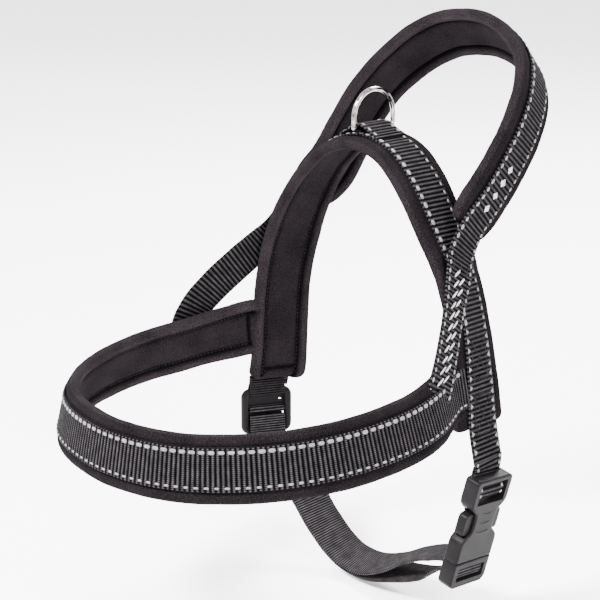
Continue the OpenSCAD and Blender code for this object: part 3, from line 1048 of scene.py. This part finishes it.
@dataclass
class Webbing:
    """A length of ribbed webbing on a route.

    Attributes:
        name: the piece's name.
        route: where it runs.
        start: distance along where it begins.
        stop: distance along where it ends.
        thickness: at the crown of the ribs, about.
        pitch: distance between ribs.
        rib: height of a rib.
        edge: width of the flat selvedge each side.
        low: height of its underside over the route.
        under: height of the ribs underneath.
        finish: its weave.
    """

    name: str
    route: Route
    start: float
    stop: float
    thickness: float = WEB_T
    pitch: float = RIB_PITCH
    rib: float = 0.75
    edge: float = 3.6
    low: float = 0.05
    under: float = 0.0
    finish: bpy.types.Material = field(default_factory=lambda: WEBBING)

    def make(self) -> bpy.types.Object:
        """The webbing's mesh as an object, not yet riding on anything.

        Returns:
            The piece.
        """
        step = self.pitch / 6
        s = np.linspace(self.start, self.stop, max(12, round((self.stop - self.start) / step)))
        inner = HALF_WEB - self.edge
        a = np.array([-HALF_WEB, -HALF_WEB + .15, -HALF_WEB + .6, -HALF_WEB + 1.4, -inner - .35,
                      -inner + .2, -inner / 2, 0, inner / 2, inner - .2, inner + .35,
                      HALF_WEB - 1.4, HALF_WEB - .6, HALF_WEB - .15, HALF_WEB])
        body = np.abs(a) < inner
        drop = np.interp(np.abs(a), [0, HALF_WEB - 1.4, HALF_WEB - .6, HALF_WEB - .15, HALF_WEB],
                         [0, .04, .12, .3, .55])
        wave = np.abs(np.sin(math.pi * s / self.pitch)) ** 0.8
        nub = np.abs(np.sin(math.pi * s / self.pitch + 0.7)) * 0.14
        top = (self.low + self.thickness - drop)[None] - np.where(
            body[None], self.rib * (1 - wave[:, None]), nub[:, None])
        waver = ripple(s[:, None], a[None] * 0.02, ((47, 1, 0.4, .1), (19, 2, 1.9, .06)))
        wide = a[None] * (1 + 0.004 * np.sin(s / 9)[:, None]) + waver
        b = a[::-1][1:-1:2]
        floor = self.low + np.interp(np.abs(b), [0, HALF_WEB - 1.4, HALF_WEB], [0, 0, .4])
        floor = floor[None] + self.under * (1 - wave[:, None]) * (np.abs(b) < inner)[None]
        across = np.concatenate([wide, np.broadcast_to(b, (len(s), len(b)))], 1)
        out = np.concatenate([top, floor], 1)
        grid = np.empty((len(s), across.shape[1] + 1, 2))
        grid[..., 0] = np.concatenate([across, across[:, :1]], 1)
        grid[..., 1] = s[:, None]
        mesh = loft(self.name, self.route.frames(s).at(across, out), grid)
        return publish(self.name, mesh, self.finish, 60)

    def lay(self, node: str) -> None:
        """Rides the webbing on the harness, in place of a CAD node."""
        settle(self.make(), Body.HARNESS, [node])


@dataclass
class Pad:
    """A padded band with a rolled border down each side.

    Attributes:
        name: the piece's name.
        route: the face between pad and webbing.
        start: distance along where it begins.
        stop: distance along where it ends.
        width: whole width, rolls included.
        roll: depth of the rolls below the route.
        corner: reach of the rounded corners, along and across.
        seed: shifts the wrinkles.
    """

    name: str
    route: Route
    start: float
    stop: float
    width: float = 43.0
    roll: float = 7.4
    corner: tuple[float, float] = (5.5, 5.5)
    seed: float = 0.0

    def profile(self) -> tuple[Array, Array]:
        """The cross section, over the outer face and back along the inner one.

        Returns:
            Places across, and places out.
        """
        h = self.width / 2
        half = [(0, -.1), (6, -.12), (12.2, -.2), (13.1, -.85), (13.8, -.4), (15.2, .25),
                (h - 3.6, .25), (h - 1.5, -.8), (h - .2, -2.4), (h, -4.0), (h - .4, -5.7),
                (h - 1.7, -7.1), (h - 3.8, -self.roll - .3), (h - 6, -7.3), (h - 7.6, -5.6),
                (h - 8.3, -2.7), (h - 9.1, -4.7), (h - 11.5, -5.6), (4.5, -5.5), (0, -5.2)]
        ring = half + [(-a, n) for a, n in reversed(half[1:-1])]
        middle = len(half) - 1
        dense = smoothed(ring[middle:] + ring[:middle], 3, closed=True)
        return dense[:, 0], dense[:, 1]

    def lay(self, node: str, fill: float) -> None:
        """Rides the pad on the harness, in place of a CAD node.

        Args:
            node: the CAD node.
            fill: how tightly it is stuffed; not used.
        """
        pad = self.make()
        settle(pad, Body.HARNESS, [node])

    def lengths(self) -> Array:
        """Distances along of the rings, closer together at the ends.

        Returns:
            The distances.
        """
        end = np.array([0, .1, .35, .8, 1.4, 2.1, 2.8, 3.8, 4.8, 5.8, 6.6, 7.2, 7.7, 8.2, 8.7,
                        9.2, 10.0])
        count = max(20, round((self.stop - self.start) / 1.6))
        middle = np.linspace(self.start + 11.4, self.stop - 11.4, count)
        return np.concatenate([self.start + end, middle, self.stop - end[::-1]])

    def make(self) -> bpy.types.Object:
        """The pad's mesh as an object, not yet riding on anything.

        Returns:
            The piece.
        """
        s, half = self.lengths(), self.width / 2
        a, n = self.profile()
        size, side = np.abs(a), np.sign(a)[None]
        inset = np.minimum(s - self.start, self.stop - s)
        t = s[:, None] + self.seed
        # the parts of the section: rolls, the seams beside them, the panel between
        rolled = np.clip((size - 13.2) / 3, 0, 1)[None]
        seam = (hump(size, half - 8.9, 1.8) * (n < -4))[None]
        panel = ((size < half - 9.6) & (n < -4))[None]
        inside = panel * np.clip((half - 9.4 - size) / 1.5, 0, 1)[None]
        swell = ripple(t, side, ((53, 1.3, 0.2, .26), (31, 2.1, 1.7, .2), (17, .8, 3.1, .14)))
        pucker = ripple(t, side, ((6.6, .9, 0.5, .16), (9.4, 1.7, 2.2, .14), (4.3, .4, 1.1, .06)))
        # the ends close towards the section's middle, in a rounded nose
        core = -3.2
        nose = 0.22 + 0.78 * quarter(inset, 2.8)[:, None]
        out = core + (n[None] - core) * (1 + 0.055 * rolled * swell) * nose
        out = out - np.sign(n - core)[None] * rolled * 0.175 * pucker
        out = out + seam * (0.42 * np.abs(pucker) + 0.1)
        out = out + panel * ripple(t, a[None] * .12, ((38, 1, 0, .16), (23, 1.8, 2, .12)))
        # a roll across each end, with a sewn groove behind it
        out = out - inside * 1.3 * hump(inset, 4.4, 2.2)[:, None]
        out = out + inside * 2.3 * hump(inset, PAD_GROOVE, 0.8)[:, None]
        reach, cut = self.corner
        corner = 1 - quarter(inset, reach)[:, None]
        wide = a[None] * (1 - corner * cut / half) + side * rolled * 0.22 * swell
        mesh = loft(self.name, self.route.frames(s).at(wide, out), profile_uv(
            np.broadcast_to(a, wide.shape), np.broadcast_to(n, wide.shape), s))
        # painted shade and highlight for the neoprene's colour, kept on the points
        painted_shading = self.painted_shading(size, n, inside, inset).astype(np.float32)
        mesh.attributes.new("painted_shading", "FLOAT", "POINT").data.foreach_set("value", painted_shading.ravel())
        return publish(self.name, mesh, NEOPRENE, 80)

    def painted_shading(self, size: Array, n: Array, inside: Array, inset: Array) -> Array:
        """Painted light at each point, from -1 for painted shade in a seam or groove to 1 for a
        painted highlight on the crest of a roll.

        Args:
            size: distance of each point of the section from its middle.
            n: places out of the section's points.
            inside: how much each point is in the panel between the rolls.
            inset: distance of each ring from the nearer end.

        Returns:
            One number for each point of each ring.
        """
        seat = self.width / 2 - 8.3
        # painted shade in the seams beside the rolls and in the sewn grooves near the ends
        groove = (hump(size, seat, 1.5) * (n < -2))[None]
        groove = groove + inside * hump(inset, PAD_GROOVE, 1.3)[:, None]
        # a painted highlight on the crest of each roll
        crest = (hump(size, seat + 4.2, 2.2) * (n < -5))[None]
        # painted shade at half strength over the whole outer face, meant for where the pad meets
        # the webbing
        return np.clip(crest - 1.4 * groove - 0.5 * (n > -1)[None], -1, 1)


def edge_rows(start: float, stop: float) -> Array:
    """Even distances along a band for a row of dashes."""
    return np.arange(start + DASH_PITCH * 0.6, stop - DASH_PITCH * 0.4, DASH_PITCH)


@dataclass
class SaddleBand:
    """The band over the back: pad, webbing, its dash rows and sewn boxes.

    Attributes:
        route: where it runs.
        pad_start: distance along where the pad begins.
        pad_stop: distance along where the pad ends.
    """

    route: Route = field(default_factory=lambda: SADDLE_ROUTE)
    pad_start: float = 7.0
    pad_stop: float = 442.0

    def build(self) -> None:
        """Makes every piece of the band."""
        Pad("saddle_pad_soft", self.route, self.pad_start, self.pad_stop).lay("saddle_pad", 0.8)
        Webbing("saddle_webbing_ribbed", self.route, 0, self.route.length).lay("saddle_webbing")
        teeth = Dashes(3.2, 4.3, 1.0, DashShape.TOOTH)
        bold, slim = Dashes(3.9, 2.9, 1.0), Dashes(2.8, 1.4, 0.9)
        s = edge_rows(0, self.route.length)
        tail = self.route.where(lambda c: np.abs(c[:, 2] + 104), self.route.length / 2,
                                self.route.length)
        for a in (-DASH_ROW, DASH_ROW):
            teeth.inward(self.route, s[s > tail], a, WEB_T)
        bold.on_band(self.route, s[s <= tail], -DASH_ROW, WEB_T)
        slim.on_band(self.route, s[s <= tail], DASH_ROW, WEB_T)
        teeth.make("saddle_dashes", 3)
        bold.make("saddle_dashes_front", 4)
        slim.make("saddle_dashes_back", 6)
        self.sewing()

    def sewing(self) -> None:
        """Sewn boxes on the tails, and rows through the pad's inner face."""
        thread, route, length = thread_rows(), self.route, self.route.length
        for low, high in ((-111, -134), (-146, -170)):
            p, q = (route.where(lambda c, z=z: np.abs(c[:, 2] - z), length / 2, length)
                    for z in (low, high))
            thread.box(route, p, q)
            thread.line(route, [(p, 7), (q, -7)])
            thread.over(route, p - 1.6, 8.2)
            thread.over(route, q + 1.6, 8.2)
        for a in (-12.8, 12.8):
            thread.line(route, [(self.pad_start + 3, a), (self.pad_stop - 3, a)], -5.0, 2.7, True)
        for end in (self.pad_start + PAD_GROOVE, self.pad_stop - PAD_GROOVE):
            thread.over(route, end, 11, -3.6, 2.4, True)
        for place in (66.0, length - 88):
            for edges in ((9.0, 4.5), (-4.0, -8.5)):
                zigzag = [(place + 2.6 * k, edges[k % 2]) for k in range(11)]
                thread.line(route, zigzag, -5.75, 2.2, True)
        thread.make("saddle_stitching", 5)


@dataclass
class ChestBand:
    """The loop round the chest: pad, webbing and dash rows."""

    route: Route = field(default_factory=lambda: CHEST_ROUTE)

    def build(self) -> None:
        """Makes every piece of the loop."""
        length = self.route.length
        Pad("chest_pad_soft", self.route, 2.5, length - 2.5, 40.0, seed=11).lay("chest_pad", 0.8)
        Webbing("chest_webbing_ribbed", self.route, 0, length).lay("chest_webbing")
        s = edge_rows(0, length)
        top, low = Dashes(4.5, 2.5, 1.0), Dashes(3.3, 1.5, 0.85)
        top.on_band(self.route, s, DASH_ROW, WEB_T)
        top.make("chest_dashes_top", 7)
        low.on_band(self.route, s + DASH_PITCH / 2, -DASH_ROW, WEB_T)
        low.make("chest_dashes_low", 8)
        thread = thread_rows()
        for a in (-11.3, 11.3):
            thread.line(self.route, [(12, a), (length - 12, a)], -5.0, 2.7, True)
        thread.make("chest_stitching", 9)


@dataclass
class CrossWeb:
    """The one length of webbing that makes both braces and the carry handle."""

    route: Route = field(default_factory=lambda: CROSS_ROUTE)

    def build(self) -> None:
        """Makes both braces, the handle and what is sewn on them."""
        self.braces()
        self.handle()

    def braces(self) -> None:
        """The two braces and their crossing patches, on the harness."""
        rows = Dashes(3.3, 1.7, 0.9)
        marks = Dashes(8.6, 1.5, 0.8, finish=BRIGHT)
        thread = thread_rows()
        for name, start, stop, sign in (("right_brace", 0, RIGHT_PIVOT, 1),
                                        ("left_brace", LEFT_PIVOT, self.route.length, -1)):
            Webbing(name + "_ribbed", self.route, start, stop, under=0.3).lay(name)
            rows.edges(self.route, edge_rows(start, stop), WEB_T)
            sewn, free = (12, 14) if sign > 0 else (14, 12)
            bars = np.arange(start + sewn, stop - free, 3.5)
            marks.on_band(self.route, bars, np.where(np.arange(len(bars)) % 2, 2.6, -2.6),
                          WEB_T + 0.05, 35 * sign)
            p, q = (start + 3, start + 12) if sign < 0 else (stop - 12, stop - 3)
            thread.box(self.route, p, q)
        rows.make("brace_dashes", 12)
        marks.make("brace_marks", 13)
        thread.make("brace_stitching", 14)

    def handle(self) -> None:
        """The handle's pad, webbing, dashes and marks, which ride on no body."""
        route = self.route
        pad = Pad("handle_pad_soft", route, HANDLE_START + 1, HANDLE_STOP - 1,
                  43.0, 8.2, (20.0, 9.0), seed=29).make()
        web = Webbing("handle_webbing_ribbed", route, RIGHT_PIVOT, LEFT_PIVOT).make()
        s = edge_rows(RIGHT_PIVOT, LEFT_PIVOT)
        upper, lower = Dashes(3.8, 2.3, 1.0), Dashes(3.1, 1.6, 0.9)
        upper.on_band(route, s, -DASH_ROW, WEB_T)
        lower.on_band(route, s, DASH_ROW, WEB_T)
        marks = Dashes(5.6, 5.4, 0.9, DashShape.DIAMOND, BRIGHT)
        reach = np.arange(18, 56, 9.5)
        spots = np.concatenate([HANDLE_START + reach, HANDLE_STOP - reach])
        marks.on_band(route, spots, 0, WEB_T - 0.05)
        for piece, slot, nodes in (
                (pad, Slot.NEOPRENE, ["handle_pad"]),
                (web, Slot.WEBBING, ["handle_webbing"]),
                (upper.lay("handle_dashes_upper", 17), Slot.WEBBING, []),
                (marks.lay("handle_marks", 18), Slot.WEBBING, []),
                (lower.lay("handle_dashes_lower", 19), Slot.WEBBING, [])):
            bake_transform(piece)
            dress(piece, nodes)


# ------------------------------------------------------------------ leash ring


@dataclass
class LeashRing:
    """The plated ring and the webbing keeper that holds its straight side.

    Attributes:
        half: half the distance between leg centres.
        leg: height of the straight legs.
        wire: radius of the wire.
    """

    half: float = 17.0
    leg: float = 7.5
    wire: float = 1.55

    def path(self) -> Array:
        """The wire's middle line, a closed loop in a plane of constant X.

        Returns:
            Its points, in millimetres.
        """
        base, corner = RING_Z + PAD_T, 2.0
        arc = np.linspace(0, math.pi, 48)
        bend = np.linspace(0, math.pi / 2, 7)
        h = self.half
        bar = [(0.0, y, base) for y in np.linspace(-h + corner, h - corner, 14)]
        right = [(0, h - corner + corner * math.sin(t), base + corner * (1 - math.cos(t)))
                 for t in bend[1:]]
        dome = [(0, h * math.cos(t), base + self.leg + h * math.sin(t)) for t in arc]
        left = [(0, -h + corner - corner * math.cos(t), base + corner - corner * math.sin(t))
                for t in bend[:-1]]
        return np.array(bar + right + dome + left, float) + [0, 1, 0]

    def build(self) -> None:
        """Makes the ring and its keeper."""
        rings, grid = tube(self.path(), (self.wire, self.wire), 24, closed=True)
        mesh = local_mesh(loft("leash_ring_wire", rings, grid, closed=True), None)
        settle(publish("leash_ring_wire", mesh, STEEL), Body.RING, ["leash_ring"])
        length = KEEPER_ROUTE.length
        Webbing("ring_keeper_ribbed", KEEPER_ROUTE, 0, length).lay("ring_keeper")
        dashes, thread = Dashes(3.3, 1.8, 0.9), thread_rows()
        dashes.edges(KEEPER_ROUTE, edge_rows(0, length), WEB_T)
        for place in (3.0, length - 3.0):
            thread.over(KEEPER_ROUTE, place, 8)
        dashes.make("keeper_dashes", 21)
        thread.make("keeper_stitching", 22)


# ------------------------------------------------------------------ hardware


def prism(outline: Sequence[tuple[float, float]], half: float, rim: float) -> bpy.types.Mesh:
    """A plate with rounded rims, its outline in local Y and Z, half thick each way in X.

    Args:
        outline: corners in order.
        half: half the thickness.
        rim: radius of the rounding round each face.

    Returns:
        The mesh, in local millimetres.
    """
    work = bmesh.new()
    low = [work.verts.new((-half, y, z)) for y, z in outline]
    high = [work.verts.new((half, y, z)) for y, z in outline]
    count = len(outline)
    rims = []
    for ring in (low, high):
        face = work.faces.new(ring)
        rims.extend(face.edges)
    for i in range(count):
        j = (i + 1) % count
        work.faces.new((low[i], low[j], high[j], high[i]))
    bmesh.ops.recalc_face_normals(work, faces=work.faces)
    if rim > 0:
        bmesh.ops.bevel(work, geom=rims, offset=rim, segments=4, profile=0.5,
                        affect="EDGES", clamp_overlap=True)
    return written(work, bpy.data.meshes.new("plate"))


def block(low: Row, high: Row, radius: float = 0.8) -> bpy.types.Mesh:
    """A box with rounded edges between two corners, in local millimetres.

    Args:
        low: the lowest corner.
        high: the highest corner.
        radius: of its edges.

    Returns:
        The mesh.
    """
    work = bmesh.new()
    bmesh.ops.create_cube(work, size=1)
    size, middle = np.subtract(high, low), np.add(high, low) / 2
    for v in work.verts:
        v.co = Vector(middle + np.array(v.co) * size)
    bmesh.ops.bevel(work, geom=work.edges[:], offset=radius, segments=3, profile=0.5,
                    affect="EDGES", clamp_overlap=True)
    return written(work, bpy.data.meshes.new("block"))


def carve(solid: bpy.types.Mesh, cutters: Sequence[bpy.types.Mesh], bevel: float = 0.3,
          extras: Sequence[bpy.types.Mesh] = ()) -> bpy.types.Mesh:
    """Cuts meshes out of a solid, softens the new edges, and adds more shells.

    Args:
        solid: what is cut.
        cutters: what is taken away.
        bevel: width of the softened edges.
        extras: shells that are joined on afterwards.

    Returns:
        One mesh in local millimetres.
    """
    thing = bpy.data.objects.new("carve", solid)
    bpy.context.collection.objects.link(thing)
    helpers = []
    for cutter in cutters:
        helper = bpy.data.objects.new("cutter", cutter)
        bpy.context.collection.objects.link(helper)
        cut = thing.modifiers.new("cut", "BOOLEAN")
        cut.operation, cut.solver, cut.object = "DIFFERENCE", "EXACT", helper
        helpers.append(helper)
    if bevel > 0:
        soften = thing.modifiers.new("soften", "BEVEL")
        soften.width, soften.segments, soften.limit_method = bevel, 2, "ANGLE"
        soften.angle_limit = math.radians(38)
    graph = bpy.context.evaluated_depsgraph_get()
    done = bpy.data.meshes.new_from_object(thing.evaluated_get(graph))
    for helper in [thing, *helpers]:
        bpy.data.objects.remove(helper)
    work = bmesh.new()
    work.from_mesh(done)
    for extra in extras:
        work.from_mesh(extra)
    return written(work, done)


def bar(x: float, z: float, half: float, radii: Row) -> bpy.types.Mesh:
    """A rounded bar along local Y at (x, z), as a mesh in local millimetres.

    Args:
        x: its middle, through the plate.
        z: its middle, up.
        half: half its length.
        radii: half sizes in X and Z.

    Returns:
        The mesh.
    """
    y = np.linspace(-half, half, 9)
    points = np.stack([np.full(9, x), y, np.full(9, z)], 1)
    rings, grid = tube(points, radii, 24)
    return loft("bar", rings, grid)


def ridge_arc(x: float, z: float, half: float, sag: float) -> bpy.types.Mesh:
    """A thin raised arc on a face at local x, bowed by sag.

    Args:
        x: the face.
        z: height of the arc's ends.
        half: half its length.
        sag: height of its middle over its ends.

    Returns:
        The mesh.
    """
    t = np.linspace(-1, 1, 17)
    points = np.stack([np.full(17, x), half * t, z + sag * (1 - t**2)], 1)
    rings, grid = tube(points, (0.28, 0.3), 8)
    return loft("arc", rings, grid)


@dataclass
class Buckle:
    """The side release buckle: housing, plug and two latches.

    Attributes:
        half: half its width.
        thick: half its thickness.
        housing: length of the housing.
        plug: length of the plug's end below it.
    """

    half: float = 17.5
    thick: float = 5.5
    housing: float = 58.5
    plug: float = 18.5

    def outline(self) -> list[list[float]]:
        """The housing's face, all the way round.

        Returns:
            Corners in local Y and Z.
        """
        h = self.half
        side = smoothed([(h - 3, 0), (h - .9, -.9), (h, -3), (h, -9), (h, -15), (h - .8, -18.5),
                         (h - 3.4, -21.5), (h - 6.4, -24), (h - 7.5, -27), (h - 7.5, -34),
                         (h - 6.4, -37.5), (h - 3, -40.5), (h - .8, -43), (h, -46),
                         (h, -52), (h, -self.housing)], 3)
        return np.vstack([side, side[::-1] * [-1, 1]]).tolist()

    def build(self) -> None:
        """Makes the four pieces of plastic."""
        t, h = self.thick, self.half
        cuts = [block((-t - 1, -13, -17.5), (t + 1, 13, -3), 1.0),
                block((-t + 1.8, -h + 2.6, -self.housing - 2), (t - 1.8, h - 2.6, -22), 1.2),
                block((-t - 2, -13, -4), (-2, 13, 2), 0.3)]
        arcs = [ridge_arc(t + .02, z, w, -.9) for z, w in ((-24.5, 3.4), (-31, 4.2), (-37.5, 5.4))]
        mesh = carve(prism(self.outline(), t, 1.3), cuts, 0.3,
                     [bar(-1.2, -10, 13.4, (1.7, 3.06)), *arcs])
        self.place("buckle_housing_moulded", mesh, Body.HARNESS, "buckle_housing")
        low = -self.housing - self.plug
        foot = [(h, -self.housing - .3), (h, low + 4.2), (h - 1, low + 2), (h - 3.6, low),
                (-h + 3.6, low), (-h + 1, low + 2), (-h, low + 4.2), (-h, -self.housing - .3)]
        window = block((-t - 1, -13, PLUG_BAR - 4.6), (t + 1, 13, PLUG_BAR + 4.6), 0.9)
        tongue = block((-2, -3.5, -self.housing - 1), (2, 3.5, -self.housing + 26), 0.9)
        mesh = carve(prism(foot, t, 1.2), [window], 0.3,
                     [bar(0, PLUG_BAR, 13.4, (1.6, 1.6)), tongue])
        self.place("buckle_plug_moulded", mesh, Body.PLUG, "buckle_plug")
        for sign, body, node in ((-1, Body.FRONT_LATCH, "latch_front"),
                                 (1, Body.REAR_LATCH, "latch_rear")):
            self.latch(sign, body, node)

    def latch(self, sign: int, body: Body, node: str) -> None:
        """One latch: a springy arm with a rounded, ridged thumb pad.

        Args:
            sign: -1 for the front one, 1 for the rear one.
            body: what it rides on.
            node: the CAD node that it stands for.
        """
        h = self.half
        arm = [(6, -self.housing + .2), (9, -self.housing + .2), (12, -42), (12.2, -40),
               (h - 1.4, -39.4), (h - .2, -38.4), (h, -37), (h + .1, -32), (h, -27.5),
               (h - .4, -26.2), (h - 1.2, -25.2), (h - 3.4, -24.3), (9, -24.3), (7.6, -27),
               (7.6, -40)]
        grips = []
        for z in (-28.5, -30.8, -33.1, -35.4):
            line = np.stack([np.linspace(-2.2, 2.2, 7), np.full(7, sign * (h + .05)),
                             np.full(7, z)], 1)
            ring = np.linspace(0, 2 * math.pi, 8, endpoint=False)
            rings = line[:, None] + np.stack([np.zeros(8), .3 * np.cos(ring),
                                              .35 * np.sin(ring)], 1)[None]
            grips.append(loft("grip", rings, np.zeros((7, 9, 2))))
        mesh = carve(prism([(sign * y, z) for y, z in arm], self.thick - 2.2, 0.9), [], 0.0, grips)
        self.place(node + "_moulded", mesh, body, node)

    @staticmethod
    def place(name: str, mesh: bpy.types.Mesh, body: Body, node: str) -> None:
        """Moves a piece to the buckle's place and settles it."""
        piece = publish(name, local_mesh(mesh, BUCKLE), PLASTIC, 42)
        settle(piece, body, [node])


@dataclass
class Slider:
    """The three bar strap slider.

    Attributes:
        half_w: half the width between side bar centres.
        half_h: half the height between the end bars.
    """

    half_w: float = 15.4
    half_h: float = SLIDER_BAR

    def build(self) -> None:
        """Makes the slider."""
        corner = 4.5
        loop = []
        for cy, cz, start in ((1, 1, 0), (-1, 1, 90), (-1, -1, 180), (1, -1, 270)):
            for t in np.radians(np.linspace(start, start + 90, 9)):
                loop.append((0, cy * (self.half_w - corner) + corner * math.cos(t),
                             cz * (self.half_h + .1 - corner) + corner * math.sin(t)))
        dense = np.array(loop, float)
        extra = []
        for p, q in zip(dense, np.roll(dense, -1, 0)):
            cuts = max(1, int(np.linalg.norm(q - p) / 1.5))
            extra.extend(p + (q - p) * k / cuts for k in range(cuts))
        path = np.array(extra)
        rings, grid = tube(path, (3.0, 2.75), 24, closed=True)
        slim = np.clip((np.abs(path[:, 1]) - 11) / 4, 0, 1)
        centre = path[:, None]
        rings = centre + (rings - centre) * (0.66 + 0.34 * slim)[:, None, None]
        # the plate with its small slot fills the upper opening: a dark sheet in place of the
        # webbing that lies there in shade, so it is partly painted shade
        slot = block((-4, 9.2, 6.6), (1, 11.2, 7.6), 0.2)
        plate = carve(block((-2.5, -13.8, 1.0), (-0.9, 13.8, 13.2), 0.5), [slot], 0.2)
        outer = loft("slider_frame", rings, grid, closed=True)
        mesh = carve(outer, [], 0.0, [bar(0, 0, self.half_w, (1.7, 1.7)), plate])
        piece = publish("strap_slider_moulded", local_mesh(mesh, SLIDER), PLASTIC, 60)
        settle(piece, Body.SLIDER, ["strap_slider"])


# ------------------------------------------------------------------ straps


@dataclass
class BellyStraps:
    """The belly strap, its return layer, and the webbing loops on the hardware.

    Attributes:
        thickness: of the strap, at the crown of its ribs.
    """

    thickness: float = 1.5

    def build(self) -> None:
        """Makes the straps in halves, one on the slider's side and one on the plug's, then the
        webbing loops and their yarn.
        """
        for node, route, held in (("belly_strap", BELLY_ROUTE, (34, 20)),
                                  ("belly_return", RETURN_ROUTE, (16, 14))):
            middle = route.where(lambda c: c[:, 2], 0, route.length)
            self.half(node, route, Body.SLIDER, (0, middle), (middle - 30, held[0]))
            self.half(node, route, Body.PLUG, (middle, route.length),
                      (middle + 6, route.length - held[1]))
        for name, route, node, pitch, rib, finish in (
                ("buckle_loop_woven", BUCKLE_LOOP_ROUTE, "buckle_web_loop", RIB_PITCH, .75,
                 WEBBING),
                ("slider_loop_woven", SLIDER_LOOP_ROUTE, "slider_web_loop", STRAP_PITCH, .3,
                 TAIL)):
            Webbing(name, route, 0, route.length, pitch=pitch, rib=rib, low=-.8,
                    under=0.3, finish=finish).lay(node)
        self.loop_yarn()

    def half(self, node: str, route: Route, end: Body, span: tuple[float, float],
             bend: tuple[float, float]) -> None:
        """One half of a strap, between two distances along its route, riding on no body.

        Args:
            node: the CAD node that it stands for half of.
            route: the strap's route.
            end: the body at its outer end.
            span: distances along where the half begins and ends.
            bend: distances along where it would leave the harness and be all on the end; only
                their points are found.
        """
        web = Webbing(f"{node}_{end.value}_side", route, *span, self.thickness, STRAP_PITCH,
                      0.3, 1.4, -self.thickness / 2, 0.15, STRAP).make()
        start, stop = (Vector(p) for p in route.frames(np.array(bend)).centre * MM)
        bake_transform(web)
        dress(web, [node])

    @staticmethod
    def loop_yarn() -> None:
        """Dashes on the buckle's loop and a sewn row above the slider."""
        dashes, thread = Dashes(2.6, 2.0, 0.9), thread_rows(0.8)
        dashes.edges(BUCKLE_LOOP_ROUTE, np.array([1.5, 5.5, 16.5, 20.5, 24.5]), 0.8)
        dashes.make("buckle_loop_dashes", 31)
        for place in (2.5, 4.6):
            thread.over(SLIDER_LOOP_ROUTE, place, 10.5, 0.85)
            thread.over(SLIDER_LOOP_ROUTE, place, 10.5, -0.85, SEAM_PITCH, True)
        thread.make("slider_loop_stitching", 32)


# ------------------------------------------------------------------ studio


@dataclass(frozen=True)
class AreaLight:
    """One soft box.

    Attributes:
        name: its name.
        place: where it is, in metres.
        size: its width.
        power: watts.
    """

    name: str
    place: tuple[float, float, float]
    size: float
    power: float

    def make(self, target: Vector) -> None:
        """Hangs the light, aimed at target.

        Args:
            target: what it is aimed at, in metres.
        """
        data = bpy.data.lights.new(self.name, "AREA")
        data.shape, data.size, data.energy = "DISK", self.size, self.power
        lamp = bpy.data.objects.new(self.name, data)
        lamp.location = self.place
        lamp.rotation_euler = (target - Vector(self.place)).to_track_quat("-Z", "Y").to_euler()
        bpy.context.collection.objects.link(lamp)


@dataclass
class Studio:
    """The pale floor, the lights and the camera.

    Attributes:
        target: what the camera looks at, in metres.
        azimuth: degrees from the nose's direction towards the wearer's left.
        elevation: degrees above the level.
        distance: from the target, in metres.
        lens: focal length.
    """

    target: Vector = field(default_factory=lambda: Vector((-0.0108, -0.0517, -0.0978)))
    azimuth: float = 48.0
    elevation: float = 15.5
    distance: float = 1.25
    lens: float = 118.5

    def build(self) -> None:
        """Sets the stage."""
        self.camera()
        world = bpy.data.worlds.new("studio")
        world.use_nodes = True
        world.node_tree.nodes["Background"].inputs[0].default_value = (1, 1, 1, 1)
        world.node_tree.nodes["Background"].inputs[1].default_value = 3.0
        bpy.context.scene.world = world
        for light in (AreaLight("key", (-0.2, -1.3, 1.2), 0.6, 210),
                      AreaLight("fill", (1.5, -0.2, 0.7), 0.8, 65),
                      AreaLight("back", (-0.5, 1.2, 1.2), 0.8, 110)):
            light.make(self.target)
        floor = bpy.data.meshes.new("floor")
        reach, level = 12.0, CAD_BOX[0][2] - 0.004
        corners = [(-reach, -reach), (reach, -reach), (reach, reach), (-reach, reach)]
        floor.from_pydata([(x, y, level) for x, y in corners], [], [(0, 1, 2, 3)])
        sh = Shader("pale_floor")
        tone = sh.spread(sh.noise(sh.object_point(), 1.5, 3), 0.2, 0.8)
        sh.colour(tone, (0.94, 0.94, 0.94), (0.96, 0.96, 0.96))
        publish("floor", floor, sh.surface(0.8, Specular_IOR_Level=0.1))

    def camera(self) -> None:
        """Puts the camera round the target."""
        a, e = math.radians(self.azimuth), math.radians(self.elevation)
        back = Vector((math.sin(a) * math.cos(e), -math.cos(a) * math.cos(e), math.sin(e)))
        data = bpy.data.cameras.new("camera")
        data.lens, data.sensor_width = self.lens, 36.0
        view = bpy.data.objects.new("camera", data)
        view.location = self.target + self.distance * back
        view.rotation_euler = (-back).to_track_quat("-Z", "Y").to_euler()
        bpy.context.collection.objects.link(view)
        bpy.context.scene.camera = view


def main() -> None:
    """Builds every sub-assembly in order and notes the sizes."""
    logging.basicConfig(level=logging.INFO, format="%(name)s %(message)s", stream=sys.stdout)
    for part in (Studio(), SaddleBand(), ChestBand(), CrossWeb(), LeashRing(), Buckle(),
                 Slider(), BellyStraps()):
        log.info("building %s", type(part).__name__)
        part.build()


if __name__ == "__main__":
    main()
